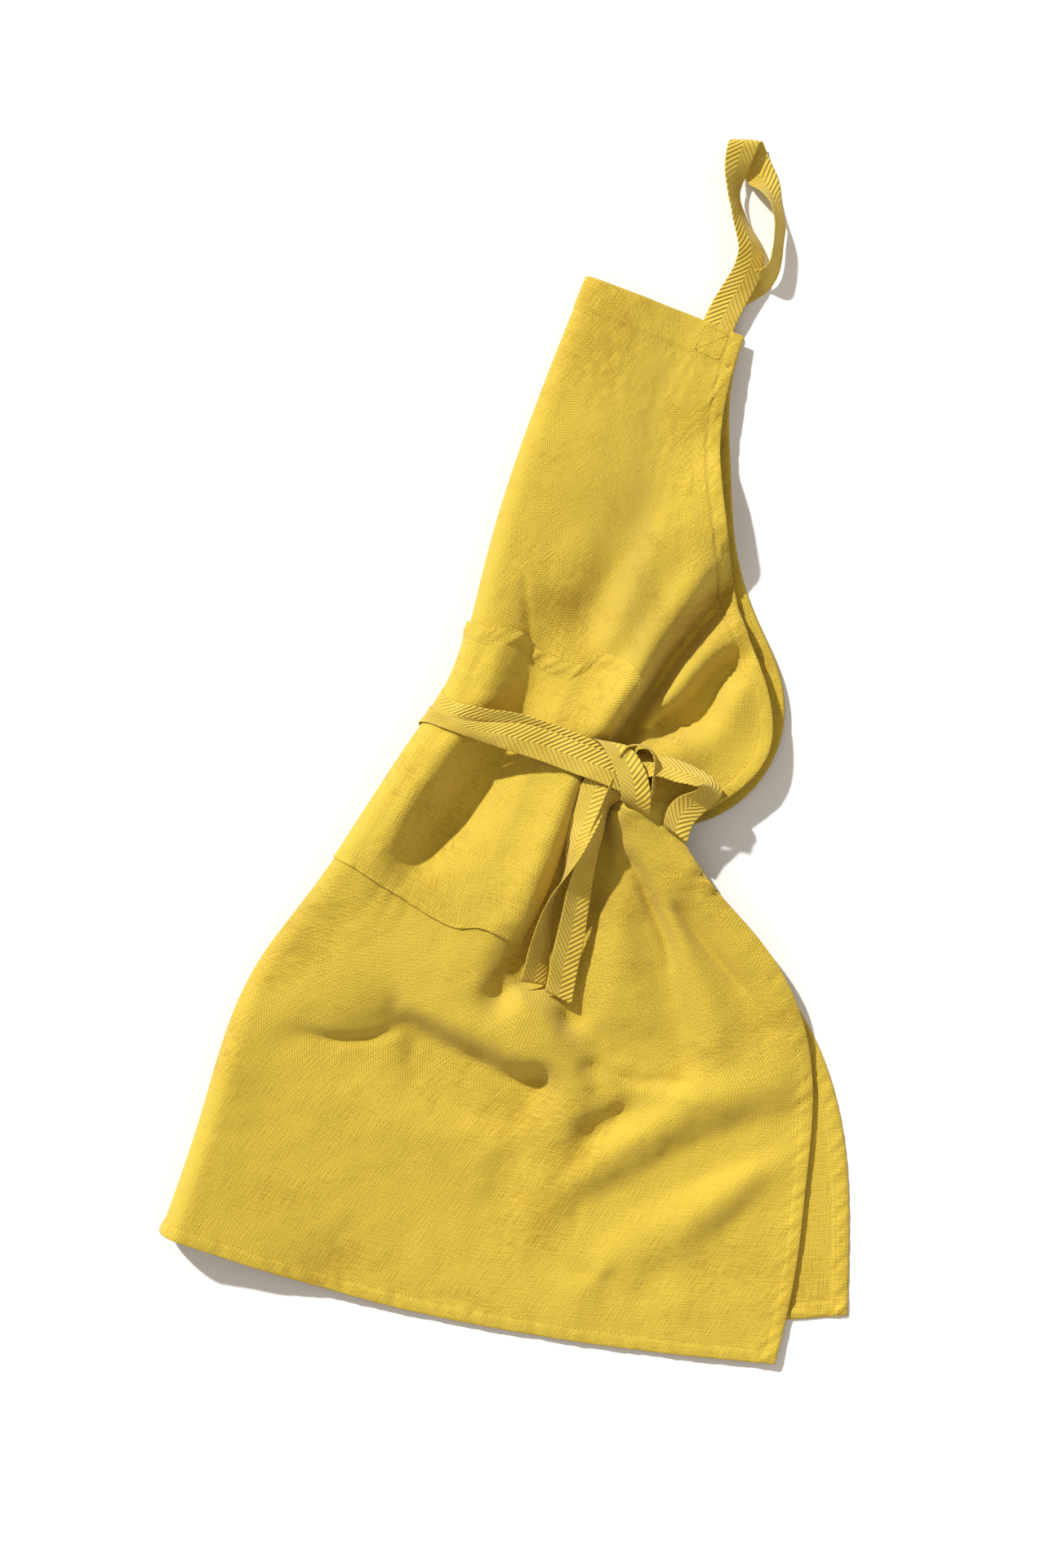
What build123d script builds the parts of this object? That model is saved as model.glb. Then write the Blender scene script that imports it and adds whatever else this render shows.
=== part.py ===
from build123d import *
import functools
import math
import os

# A full bib apron of cotton-linen cloth, folded in half down its centre with the outside out, laid flat, and
# held by its own waist ties, which go round the folded waist and are knotted on top of the open side.
# Working coordinates: X runs from the centre fold to the open side edges, Y from the hem up to the bib, Z up
# from the table. The part's origin is on the table, at the middle of the whole apron.

# ---- driving sizes, millimetres ----
body_length = 850.0  # along the centre fold, hem to bib
bib_half_width = 137.0
skirt_reach = 500.0  # fold to hem corner of the upper half, as it lies
lower_skirt_reach = 539.0
hem_rise = 103.0  # how far the hem corner lies above the fold's corner
lower_hem_rise = 163.0
waist_height = 480.0
waist_reach = 246.0  # fold line to the gathered side corner
wing_reach = 292.0
cloth = 1.0
clearance = 0.55
pocket_ease = 0.95  # gap between the pocket and the cloth under it
tape_width = 25.0
tape_thickness = 1.0
bib_hem_depth = 30.0
hem_depth = 13.0
facing_width = 13.0
pocket_bottom = 330.0
pocket_top = 552.0
pocket_reach = 172.0
strap_inset = 10.0  # bib corner to the neck strap
knot_radius = 25.0
knot_height = 16.0
thread = 0.5
thread_lift = 0.6  # gap under a row of stitches
table_press = 0.25  # how far the table flattens the cloth that lies on it

origin_x = 259.5
origin_y = 503.8

# ---- heights of the folded cloth ----
layer_gap = 3.4  # between the middles of the two layers where they lie close
fold_heights = [
    (-200, 33), (0, 33), (150, 31), (300, 32), (400, 37), (waist_height, 33),
    (560, 33), (700, 26), (body_length - 50, 17), (body_length, 11), (body_length + 300, 11),
]
# each soft ridge or valley of the upper layer: start x, y, end x, y, height, half width
ridges = [
    (92, waist_height - 12, 76, 365, -20, 23),
    (148, waist_height - 8, 139, 345, 17, 23),
    (181, waist_height, 190, 320, -9, 20),
    (222, waist_height - 14, 335, 425, 17, 24),
    (335, 425, 425, 345, 9, 26),
    (70, 240, 215, 256, 9, 24),
    (230, 330, 305, 165, 7, 30),
    (425, 300, 300, 150, 8, 28),
    (172, 745, 140, 575, 17, 34),
    (193, 650, 182, 560, -9, 20),
    (262, 600, 228, 530, 7, 26),
    (95, body_length, 160, 790, 5, 45),
]


@functools.cache
def along(outline, share):
    """The point at a share of an outline's length."""
    return outline.line @ share


def at(x, y, z):
    """Working coordinates to the part's own."""
    return Vector(x - origin_x, y - origin_y, z)


def blend_along(pairs, y):
    """Smooth value at y between hand-set pairs."""
    for (y0, v0), (y1, v1) in zip(pairs, pairs[1:]):
        if y <= y1:
            k = (y - y0) / (y1 - y0)
            return v0 + (v1 - v0) * k * k * (3 - 2 * k)
    return pairs[-1][1]


def lower_height(x, y):
    """Middle of the lower layer: it lifts over the pocket, the ties and the gathered waist."""
    lift = 4.1 * math.exp(-(((y - waist_height + 35) / 150) ** 4)) / (1 + (x / 330) ** 6)
    wing = 6.0 * math.exp(-(((x - wing_reach) / 60) ** 2) - ((y - waist_height - 95) / 80) ** 2)
    return 0.5 * cloth - table_press + lift + wing


def upper_height(x, y, from_fold):
    """Middle of the upper layer, from the tall loop at the fold down to the flat open edges."""
    low = lower_height(x, y) + layer_gap
    crest = blend_along(fold_heights, y)
    spread = 115 + 25 * math.exp(-(((y - 300) / 150) ** 2))
    z = low + (crest - low) * math.exp(-((from_fold / spread) ** 2))
    for x0, y0, x1, y1, height, width in ridges:
        dx, dy = x1 - x0, y1 - y0
        k = max(0.0, min(1.0, ((x - x0) * dx + (y - y0) * dy) / (dx * dx + dy * dy)))
        away = math.hypot(x - x0 - k * dx, y - y0 - k * dy)
        z += height * math.exp(-((away / width) ** 2))
    over = z - low
    return low + 0.5 * (over + math.sqrt(over * over + 9.0)) - 0.2


# ---- outlines of the two halves, as they lie ----
with BuildLine() as fold_line:
    Spline((0, 0), (-9, 100), (-18, 225), (-2, 300), (25, waist_height - 30), (32, waist_height + 15),
           (20, 600), (6, 720), (0, body_length))
with BuildLine() as upper_hem:
    Spline((0, 0), (100, 7), (200, 20), (300, 42), (400, 70), (skirt_reach, hem_rise))
with BuildLine() as lower_hem:
    Spline((0, 0), (100, 8), (250, 38), (400, 92), (lower_skirt_reach, lower_hem_rise))
with BuildLine() as bib_top:
    Spline((0, body_length), (70, body_length + 4), (bib_half_width, body_length + 7))
with BuildLine() as upper_skirt_edge:
    Spline((skirt_reach, hem_rise), (486, 175), (463, 250), (435, 325), (400, 375), (345, 415),
           (waist_reach + 50, waist_height - 42), (waist_reach, waist_height - 10))
with BuildLine() as lower_skirt_edge:
    Spline((lower_skirt_reach, lower_hem_rise), (515, 220), (480, 290), (430, 352), (370, 395),
           (waist_reach + 60, waist_height - 50), (waist_reach + 2, waist_height - 12))
with BuildLine() as upper_wing_edge:
    Spline((waist_reach, waist_height - 10), (waist_reach + 25, waist_height + 20),
           (wing_reach, waist_height + 75), (270, 602), (225, 650), (190, 702), (160, 755),
           (bib_half_width + 4, body_length - 30), (bib_half_width, body_length + 7))
with BuildLine() as lower_wing_edge:
    Spline((waist_reach + 2, waist_height - 12), (waist_reach + 32, waist_height + 15),
           (wing_reach + 6, waist_height + 85), (280, 612), (238, 654), (200, 700), (170, 757),
           (bib_half_width + 6, body_length - 30), (bib_half_width, body_length + 7))
edge_waist_share = 0.56  # the share of the length that lies below the waist
loop = 0.12  # the share of the cloth's columns that goes round the fold


def edge_point(skirt_edge, wing_edge, t):
    """A point of the open side edge, with the waist corner at the waist's own share."""
    if t < edge_waist_share:
        return along(skirt_edge, t / edge_waist_share)
    return along(wing_edge, (t - edge_waist_share) / (1 - edge_waist_share))


def plan_point(s, t, upper):
    """Where the point s across and t along lies on the table: a patch between four outlines."""
    hem = upper_hem if upper else lower_hem
    skirt_edge, wing_edge = (
        (upper_skirt_edge, upper_wing_edge) if upper else (lower_skirt_edge, lower_wing_edge)
    )
    start, end = along(fold_line, t), edge_point(skirt_edge, wing_edge, t)
    low, high = along(hem, s), along(bib_top, s)
    corners = (
        along(hem, 0) * ((1 - s) * (1 - t)) + along(hem, 1) * (s * (1 - t))
        + along(bib_top, 0) * ((1 - s) * t) + along(bib_top, 1) * (s * t)
    )
    return start * (1 - s) + end * s + low * (1 - t) + high * t - corners


@functools.cache
def panel_point(a, t):
    """The middle of the cloth: a runs from the lower side edge (-1) round the fold (0) to the upper (1)."""
    upper = a > 0
    fold = along(fold_line, t)
    radius = 0.5 * (blend_along(fold_heights, fold.Y) - lower_height(fold.X, fold.Y))
    width = (plan_point(1, t, upper) - fold).length
    if abs(a) > loop:
        start = radius / width
        s = start + (1 - start) * (abs(a) - loop) / (1 - loop)
        plan = plan_point(s, t, upper)
        z = upper_height(plan.X, plan.Y, s * width - radius) if upper else lower_height(plan.X, plan.Y)
        return at(plan.X, plan.Y, z)
    near = plan_point(radius / width, t, upper)
    low = lower_height(near.X, near.Y)
    high = upper_height(near.X, near.Y, 0)
    angle = math.radians(90 * a / loop)
    turn = plan_point(radius / width * (1 - math.cos(angle)), t, upper)
    return at(turn.X, turn.Y, 0.5 * (low + high) + 0.5 * (high - low) * math.sin(angle))


def lifted(a, t, lift):
    """A point off the cloth's middle towards its outer face (a negative lift is inside the fold)."""
    if lift == 0:
        return panel_point(a, t)
    step = 0.004
    a0, a1 = max(-1, a - step), min(1, a + step)
    t0, t1 = max(0, t - step), min(1, t + step)
    across = panel_point(a1, t) - panel_point(a0, t)
    lengthwise = panel_point(a, t1) - panel_point(a, t0)
    return panel_point(a, t) + across.cross(lengthwise).normalized() * lift


def column_at(reach, t, side=1):
    """The column whose point lies a distance from the fold line, on the upper (1) or lower (-1) half."""
    fold = along(fold_line, t)
    width = (plan_point(1, t, side > 0) - fold).length
    radius = 0.5 * (blend_along(fold_heights, fold.Y) - lower_height(fold.X, fold.Y))
    start = radius / width
    return side * (loop + (1 - loop) * (reach / width - start) / (1 - start))


def column_from_edge(inset, t, side=1):
    """The column whose point lies a distance in from the open side edge."""
    width = (plan_point(1, t, side > 0) - along(fold_line, t)).length
    return column_at(width - inset, t, side)


def spread(first, last, count):
    return [first + (last - first) * i / (count - 1) for i in range(count)]


def closed(outer, inner):
    """The solid between two surfaces of the same outline."""
    walls = []
    for edge in outer.edges():
        partner = inner.edges().sort_by_distance(edge @ 0.5)[0]
        walls.append(Face.make_surface_from_curves(edge, partner))
    return Solid(Shell([outer, inner, *walls]))


def cloth_piece(grid, inner_lift, outer_lift):
    """A layer of cloth through a grid of (column, share) pairs, between two lifts."""
    surfaces = [
        Face.make_surface_from_array_of_points(
            [[lifted(a, t, lift) for a, t in line] for line in grid],
            tol=0.1, smoothing=(1, 1, 1), max_deg=5,
        )
        for lift in (outer_lift, inner_lift)
    ]
    return closed(*surfaces)


def ruled(left, right, shifts, side):
    """The surface between two edge curves, moved off by half a thickness."""
    return Face.make_surface_from_curves(
        Edge.make_spline([p + n * side for p, n in zip(left, shifts)]),
        Edge.make_spline([p + n * side for p, n in zip(right, shifts)]),
    )


def strip(left, right, thickness):
    """A flat strip between two lists of edge points."""
    shifts = []
    for i in range(len(left)):
        before, after = max(0, i - 1), min(len(left) - 1, i + 1)
        run = (left[after] - left[before]) + (right[after] - right[before])
        shifts.append(run.cross(right[i] - left[i]).normalized() * (thickness / 2))
    return closed(ruled(left, right, shifts, 1), ruled(left, right, shifts, -1))


def tape(pairs):
    """A tape from its pairs of edge points, each (x, y, z, x, y, z) in working coordinates."""
    return strip([at(*p[:3]) for p in pairs], [at(*p[3:]) for p in pairs], tape_thickness)


def stitch_row(path, lift):
    """A row of stitches along a path of (column, share) pairs, laid on the cloth at a lift."""
    middle = [lifted(a, t, lift + thread / 2) for a, t in path]
    left, right = [], []
    for i, (a, t) in enumerate(path):
        run = middle[min(len(middle) - 1, i + 1)] - middle[max(0, i - 1)]
        up = lifted(a, t, 1.0) - lifted(a, t, 0)
        aside = run.cross(up).normalized() * (thread / 2)
        left.append(middle[i] - aside)
        right.append(middle[i] + aside)
    return strip(left, right, thread)


def save(piece, name):
    piece.part.label = name
    export_step(piece.part, f"parts/{name}.step")
    solids = piece.part.solids()
    print(name, len(solids), round(piece.part.volume), all(s.is_valid for s in solids))


os.makedirs("parts", exist_ok=True)

# ---- body panel: one cut cloth, folded round the centre ----
half_columns = spread(loop, 1, 31)
loop_columns = spread(-loop, loop, 9)[1:-1]
columns = [-a for a in reversed(half_columns)] + loop_columns + half_columns
rows = spread(0, 1, 45)

with BuildPart() as body_panel:
    add(cloth_piece([[(a, t) for a in columns] for t in rows], -cloth / 2, cloth / 2))
    split(bisect_by=Plane.XY, keep=Keep.TOP)
save(body_panel, "body_panel")

# ---- pocket: one patch across the fold, on the outside of both halves ----
pocket_inner = cloth / 2 + pocket_ease
pocket_outer = pocket_inner + cloth
pocket_rows = spread(pocket_bottom / body_length, pocket_top / body_length, 20)


def pocket_column(k, t):
    """Column of the pocket's own share k: its middle rounds the fold, its ends are the sewn edges."""
    if abs(k) <= loop:
        return k
    side = 1 if k > 0 else -1
    end = abs(column_at(pocket_reach, t, side))
    return side * (loop + (end - loop) * (abs(k) - loop) / (1 - loop))


pocket_shares = spread(loop, 1, 17)
pocket_columns = [-k for k in reversed(pocket_shares)] + loop_columns + pocket_shares
with BuildPart() as pocket_panel:
    add(cloth_piece(
        [[(pocket_column(k, t), t) for k in pocket_columns] for t in pocket_rows], pocket_inner, pocket_outer
    ))
save(pocket_panel, "pocket_panel")

# ---- armhole facings: strips sewn inside the curved edges ----
facing_rows = spread(0.60, 1 - (bib_hem_depth + 2) / body_length, 22)
facing_inner = -(cloth / 2 + clearance)
for side, half in ((1, "upper"), (-1, "lower")):
    with BuildPart() as armhole_facing:
        add(cloth_piece(
            [
                [(column_from_edge(inset, t, side), t) for inset in spread(facing_width, 1.5, 4)]
                for t in facing_rows
            ],
            facing_inner - 0.8 * cloth, facing_inner,
        ))
    save(armhole_facing, f"armhole_facing_{half}")

# ---- neck strap: its two sewn ends inside the bib, and the free loop between them ----
strap_right = bib_half_width - strap_inset
strap_left = strap_right - tape_width
bib_edge = body_length + 6
strap_under = cloth / 2 + clearance + tape_thickness / 2
upper_bib_z = upper_height(0.5 * (strap_left + strap_right), bib_edge, 0.5 * (strap_left + strap_right))
upper_end_z = upper_bib_z - strap_under
lower_end_z = lower_height(strap_left, bib_edge) + strap_under
for side, half in ((1, "upper"), (-1, "lower")):
    end_rows = spread(1 - (bib_hem_depth - 3) / body_length, 1 - 1 / body_length, 5)
    end_edges = [
        [
            lifted(column_at(reach, t, side), t, -strap_under)
            for t in end_rows
        ]
        for reach in (strap_left, strap_right)
    ]
    with BuildPart() as strap_end:
        add(strip(*end_edges, tape_thickness))
    save(strap_end, f"neck_strap_end_{half}")

strap_foot = bib_edge + 3.0
neck_loop = [
    (strap_left, strap_foot, upper_end_z, strap_right, strap_foot, upper_end_z),
    (strap_left, strap_foot + 12, upper_end_z + 1, strap_right, strap_foot + 12, upper_end_z + 0.5),
    (strap_left + 2, strap_foot + 28, 14, strap_right + 1, strap_foot + 29, 10),
    (strap_left + 4, strap_foot + 46, 19, strap_right + 2, strap_foot + 49, 10.5),
    (strap_left + 1, strap_foot + 61, 22, strap_right - 5, strap_foot + 68, 8),
    (strap_left - 9, strap_foot + 75, 24, strap_right - 20, strap_foot + 81, 6),
    (strap_left - 20, strap_foot + 91, 25, strap_right - 34, strap_foot + 93, 5.5),
    (strap_left - 30, strap_foot + 105, 25, strap_right - 41, strap_foot + 104, 6),
    (strap_left - 37, strap_foot + 119, 23, strap_right - 42, strap_foot + 119, 8),
    (strap_left - 40, strap_foot + 131, 19, strap_right - 42.5, strap_foot + 134, 10),
    (strap_left - 39, strap_foot + 140, 12, strap_right - 43, strap_foot + 148, 9),
    (strap_left - 34, strap_foot + 137, 4, strap_right - 38, strap_foot + 146, 3.5),
    (strap_left - 24, strap_foot + 125, 2, strap_right - 31, strap_foot + 139, 2),
    (strap_left - 13, strap_foot + 116, 4, strap_right - 22, strap_foot + 131, 1.6),
    (strap_left - 2, strap_foot + 111, 16, strap_right - 12, strap_foot + 119, 1.6),
    (strap_left + 10, strap_foot + 104, 22, strap_right - 4, strap_foot + 107, 2),
    (strap_left + 19, strap_foot + 92, 24.5, strap_right + 4, strap_foot + 94, 3),
    (strap_left + 25, strap_foot + 77, 25, strap_right + 10, strap_foot + 76, 3.5),
    (strap_left + 28.5, strap_foot + 63, 25, strap_right + 14.5, strap_foot + 59, 4),
    (strap_left + 28, strap_foot + 54, 22, strap_right + 13.5, strap_foot + 46, 3),
    (strap_left + 20, strap_foot + 47, 9, strap_right + 6, strap_foot + 36, 1.2),
    (strap_left + 8, strap_foot + 40, 4, strap_right + 1, strap_foot + 24, 1.2),
    (strap_left, strap_foot + 22, 3, strap_right - 1, strap_foot + 12, 1.5),
    (strap_left - 1, strap_foot + 8, lower_end_z, strap_right - 1, strap_foot + 4, lower_end_z),
    (strap_left - 1, strap_foot, lower_end_z, strap_right - 1, strap_foot, lower_end_z),
]
with BuildPart() as neck_strap:
    add(tape(neck_loop))
save(neck_strap, "neck_strap")

# ---- waist ties: each goes under the waist, round the fold and back over to the knot ----
half_tape = 0.5 * tape_width
ring_left = along(fold_line, waist_height / body_length).X
crest = blend_along(fold_heights, waist_height)
ring_centre_x = ring_left + 0.5 * (crest - lower_height(ring_left, waist_height))
under_z = 0.25 + 0.5 * tape_thickness
stack = 1.5 * cloth + pocket_ease + 0.5 * tape_thickness + clearance + 1.0
ties_top = crest + stack + 6.0


def waist_band(lift, y_over, y_turn, y_under):
    """Edge points of a band's ring, from the knot over the top, round the fold and along the table."""
    left = min(along(fold_line, (y_turn + y) / body_length).X for y in (-half_tape, 0, half_tape))
    reach = ring_centre_x - left + stack + lift
    top = crest + stack + lift
    middle, half_rise = 0.5 * (top + under_z), 0.5 * (top - under_z)
    path = [
        (waist_reach - 70, y_over, ties_top + lift - 1.6),
        (waist_reach - 95, y_over, ties_top + lift - 2.4),
        (waist_reach - 135, y_over, ties_top + lift - 3.2),
        (ring_centre_x + 36, 0.7 * y_over + 0.3 * y_turn, 0.4 * ties_top + 0.6 * top + lift - 1),
    ]
    turn_steps = 11
    for step in range(turn_steps):
        angle = math.radians(75 + (270 - 75) * step / (turn_steps - 1))
        k = step / (turn_steps - 1)
        y = (1 - k) * (0.3 * y_over + 0.7 * y_turn) + k * y_turn
        path.append((ring_centre_x + reach * math.cos(angle), y, middle + half_rise * math.sin(angle)))
    path += [(x, y_under, under_z) for x in spread(ring_centre_x + 12, waist_reach - 8, 14)]
    return [(x, y + half_tape, z, x, y - half_tape, z) for x, y, z in path]


upper_y = waist_height + half_tape + 1
lower_y = waist_height - half_tape - 1
with BuildPart() as waist_tie_upper:
    add(tape(waist_band(0.0, upper_y + 1, upper_y, upper_y)))
save(waist_tie_upper, "waist_tie_upper")
with BuildPart() as waist_tie_lower:
    add(tape(waist_band(2.2, waist_height + 5, lower_y, lower_y)))
save(waist_tie_lower, "waist_tie_lower")

# ---- the knot, as one firm rounded lump, and the loop of tie between it and the side corner ----
knot_x, knot_y = waist_reach - 43, waist_height + 12
knot_z = ties_top + 3
with BuildPart() as tie_knot:
    with Locations(at(knot_x, knot_y, knot_z)):
        Cylinder(knot_radius, knot_height)
    fillet(tie_knot.edges().filter_by(GeomType.CIRCLE), radius=0.45 * knot_height)
save(tie_knot, "tie_knot")

corner_loop = [
    (knot_x + 27, knot_y + 19, 37, knot_x + 26, knot_y + 4, 47),
    (knot_x + 33, knot_y + 27, 34, knot_x + 35, knot_y + 10, 50),
    (knot_x + 43, knot_y + 28, 31, knot_x + 44, knot_y + 14, 51),
    (knot_x + 56, knot_y + 26, 31, knot_x + 52, knot_y + 16, 52),
    (knot_x + 65, knot_y + 18, 34, knot_x + 50, knot_y + 12, 50),
    (knot_x + 64, knot_y + 8, 34, knot_x + 43, knot_y + 8, 45),
    (knot_x + 58, knot_y - 4, 31, knot_x + 36, knot_y, 39),
    (knot_x + 56, knot_y - 16, 28, knot_x + 34, knot_y - 12, 34),
    (knot_x + 53, knot_y - 27, 26, knot_x + 34, knot_y - 26, 30),
]
with BuildPart() as tie_corner_loop:
    add(tape(corner_loop))
save(tie_corner_loop, "tie_corner_loop")

# ---- the two hanging ends of the ties ----
tail_top = knot_y - knot_radius - 2
front_tail = [
    (knot_x - 17, tail_top - 1, 40, knot_x - 11, tail_top - 5, 41),
    (knot_x - 18, tail_top - 12, 37, knot_x - 9, tail_top - 14, 39),
    (knot_x - 18, tail_top - 30, 33, knot_x - 4, tail_top - 36, 36),
    (knot_x - 17, tail_top - 65, 27, knot_x + 4, tail_top - 66, 28),
    (knot_x - 10, tail_top - 102, 23, knot_x + 13, tail_top - 102, 22),
    (knot_x - 3, tail_top - 138, 20, knot_x + 20, tail_top - 136, 20),
    (knot_x + 2, tail_top - 156, 18, knot_x + 24, tail_top - 160, 18),
]
back_tail = [
    (knot_x - 38, tail_top - 1, 40, knot_x - 19, tail_top - 1, 38),
    (knot_x - 36, tail_top - 12, 37, knot_x - 20, tail_top - 12, 38),
    (knot_x - 30, tail_top - 30, 28, knot_x - 20, tail_top - 30, 38),
    (knot_x - 23, tail_top - 56, 15, knot_x - 21, tail_top - 58, 36),
    (knot_x - 18, tail_top - 82, 12.5, knot_x - 25, tail_top - 84, 32),
    (knot_x - 12, tail_top - 106, 12.5, knot_x - 26, tail_top - 108, 29),
    (knot_x - 6, tail_top - 132, 12.5, knot_x - 24, tail_top - 134, 24),
    (knot_x, tail_top - 155, 12.5, knot_x - 19, tail_top - 158, 18),
]
for name, edges in (("tie_tail_front", front_tail), ("tie_tail_back", back_tail)):
    with BuildPart() as tie_tail:
        add(tape(edges))
    save(tie_tail, name)

# ---- rows of stitches ----
def t_of(distance):
    """The share of the length at a distance along the cloth from the hem."""
    return distance / body_length


outer_lift = cloth / 2 + thread_lift
inner_lift = -(cloth / 2 + thread_lift)
hem_share = t_of(hem_depth)
bib_share = 1 - t_of(bib_hem_depth)
skirt_shares = spread(hem_share + 0.012, edge_waist_share - 0.05, 18)
wing_shares = spread(0.60, bib_share - 0.012, 18)


def stitch_path(inset, shares, side):
    return [(column_from_edge(inset, t, side), t) for t in shares]


stitch_groups = {
    "stitches_bib_hem": [([(a, bib_share) for a in spread(0.14, 0.98, 16)], outer_lift)],
    "stitches_bottom_hem": [
        ([(a, hem_share) for a in spread(0.14, 0.99, 26)], outer_lift),
        ([(-a, hem_share) for a in spread(0.80, 0.99, 10)], inner_lift - thread),
    ],
    "stitches_side_hems": [
        (stitch_path(hem_depth - 2, skirt_shares, 1), outer_lift),
        (stitch_path(hem_depth - 2, skirt_shares, -1), inner_lift - thread),
    ],
    "stitches_armholes": [(stitch_path(facing_width - 3, wing_shares, 1), outer_lift)],
    "stitches_pocket": [
        ([(pocket_column(k, t_of(pocket_bottom + 4)), t_of(pocket_bottom + 4)) for k in spread(0.14, 0.97, 14)],
         pocket_outer + thread_lift),
        ([(pocket_column(k, t_of(pocket_top - 13)), t_of(pocket_top - 13)) for k in spread(0.14, 0.95, 14)],
         pocket_outer + thread_lift),
    ],
    "stitches_strap_box": [
        ([(column_at(x, t), t) for x, t in corners], outer_lift)
        for corners in (
            [(x, 1 - t_of(4)) for x in spread(strap_left + 3, strap_right - 3, 5)],
            [(strap_left + 3, t) for t in spread(1 - t_of(6), bib_share + t_of(4), 4)],
            [(strap_right - 3, t) for t in spread(1 - t_of(6), bib_share + t_of(4), 4)],
        )
    ],
}
for name, rows_of_thread in stitch_groups.items():
    with BuildPart() as stitches:
        for path, lift in rows_of_thread:
            add(stitch_row(path, lift))
    save(stitches, name)
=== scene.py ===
import functools
import math

import bpy
import numpy as np
from mathutils import Euler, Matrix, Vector


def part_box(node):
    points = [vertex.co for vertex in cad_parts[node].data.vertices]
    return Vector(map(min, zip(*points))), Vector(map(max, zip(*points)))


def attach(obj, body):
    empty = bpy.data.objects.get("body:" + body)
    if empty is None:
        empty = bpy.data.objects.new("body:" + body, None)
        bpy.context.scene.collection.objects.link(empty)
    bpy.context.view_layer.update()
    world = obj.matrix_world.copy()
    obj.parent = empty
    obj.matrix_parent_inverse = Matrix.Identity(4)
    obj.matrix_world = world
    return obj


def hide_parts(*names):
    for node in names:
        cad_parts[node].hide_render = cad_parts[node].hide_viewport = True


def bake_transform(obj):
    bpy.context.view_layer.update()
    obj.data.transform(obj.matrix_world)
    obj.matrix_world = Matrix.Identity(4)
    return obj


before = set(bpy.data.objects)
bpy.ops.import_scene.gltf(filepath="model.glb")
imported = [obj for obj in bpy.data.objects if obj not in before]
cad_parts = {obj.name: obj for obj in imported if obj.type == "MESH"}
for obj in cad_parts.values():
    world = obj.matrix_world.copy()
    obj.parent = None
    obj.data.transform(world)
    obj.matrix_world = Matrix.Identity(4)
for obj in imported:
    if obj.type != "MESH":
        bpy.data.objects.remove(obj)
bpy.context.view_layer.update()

bl_info = {
    "name": "Folded bib apron",
    "version": (1, 0, 0),
    "blender": (4, 5, 0),
    "location": "3D View > Sidebar > Apron",
    "description": "Builds a garment-dyed bib apron, folded in half and tied round with its own waist ties",
    "category": "Object",
}

MM = 0.001
FAR = 200.0  # millimetres, stands for "nowhere near an edge"

# ---- the cut and the lie of the cloth, millimetres ----
# Pattern coordinates: X from the centre fold to the open side edges, Y from the hem up, Z up from the table.
BODY_LENGTH = 850.0
BIB_TOP = 857.0
WAIST = 480.0
BIB_HALF = 137.0
LOWER_REACH = 539.0
HEM = 12.5
BIB_HEM = 30.0
TAPE = 25.0
EDGE_WAIST_SHARE = 0.56

PANEL_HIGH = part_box("body_panel")[1]
ORIGIN = np.array([LOWER_REACH - PANEL_HIGH[0] / MM, BIB_TOP - PANEL_HIGH[1] / MM, 0.0])


# ---------------------------------------------------------------- numbers and curves
def running_length(line):
    """The length along a line of points, from zero at its first one."""
    return np.concatenate([[0.0], np.cumsum(np.linalg.norm(np.diff(line, axis=0), axis=1))])


def sampled(where, run, values):
    """The rows of values at the places where, along the running length run."""
    return np.stack([np.interp(where, run, column) for column in values.T], -1)


FINE = 8  # samples for each wanted point while a curve is measured


def smooth_curve(points, count):
    """Evenly spaced points along the smooth curve through given (x, y), (x, y, z) or a tape's two edges."""
    p = np.array(points, float)
    is_tape = p.shape[1] == 6

    def middle(values, columns):
        return 0.5 * (values[:, :3] + values[:, 3:]) if is_tape else values[:, :columns]

    steps = np.maximum(np.linalg.norm(np.diff(middle(p, 2), axis=0), axis=1), 1e-6)
    u = np.concatenate([[0.0], np.cumsum(steps)])
    n = len(p)
    matrix, right = np.eye(n), np.zeros_like(p)
    for i in range(1, n - 1):
        matrix[i, i - 1:i + 2] = steps[i - 1], 2 * (steps[i - 1] + steps[i]), steps[i]
        right[i] = 6 * ((p[i + 1] - p[i]) / steps[i] - (p[i] - p[i - 1]) / steps[i - 1])
    bend = np.linalg.solve(matrix, right)

    def at(where):
        i = np.clip(np.searchsorted(u, where) - 1, 0, n - 2)
        h = steps[i][:, None]
        a = ((u[i + 1] - where)[:, None]) / h
        b = 1 - a
        curve = a * p[i] + b * p[i + 1]
        return curve + ((a**3 - a) * bend[i] + (b**3 - b) * bend[i + 1]) * h * h / 6

    places = np.linspace(0, u[-1], FINE * count)
    run = running_length(middle(at(places), 3))
    return at(np.interp(np.linspace(0, run[-1], count), run, places))


def share_of(curve, share):
    """The point at a share of a curve's length."""
    return sampled(np.asarray(share, float) * (len(curve) - 1), np.arange(len(curve)), curve)


def ease(k):
    """From 0 to 1 without a corner at either end."""
    k = np.clip(k, 0, 1)
    return k * k * (3 - 2 * k)


def smooth_noise(shape, step, longest, shortest, seed):
    """A seeded random field of unit spread, with waves between two lengths in millimetres."""
    white = np.fft.rfft2(np.random.default_rng(seed).standard_normal(shape))
    fy = np.fft.fftfreq(shape[0], step)[:, None]
    fx = np.fft.rfftfreq(shape[1], step)[None, :]
    f = np.hypot(fx, fy)
    band = np.exp(-((f * shortest) ** 2)) * (1 - np.exp(-((f * longest) ** 2)))
    field = np.fft.irfft2(white * band, shape)
    return field / field.std()


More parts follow.
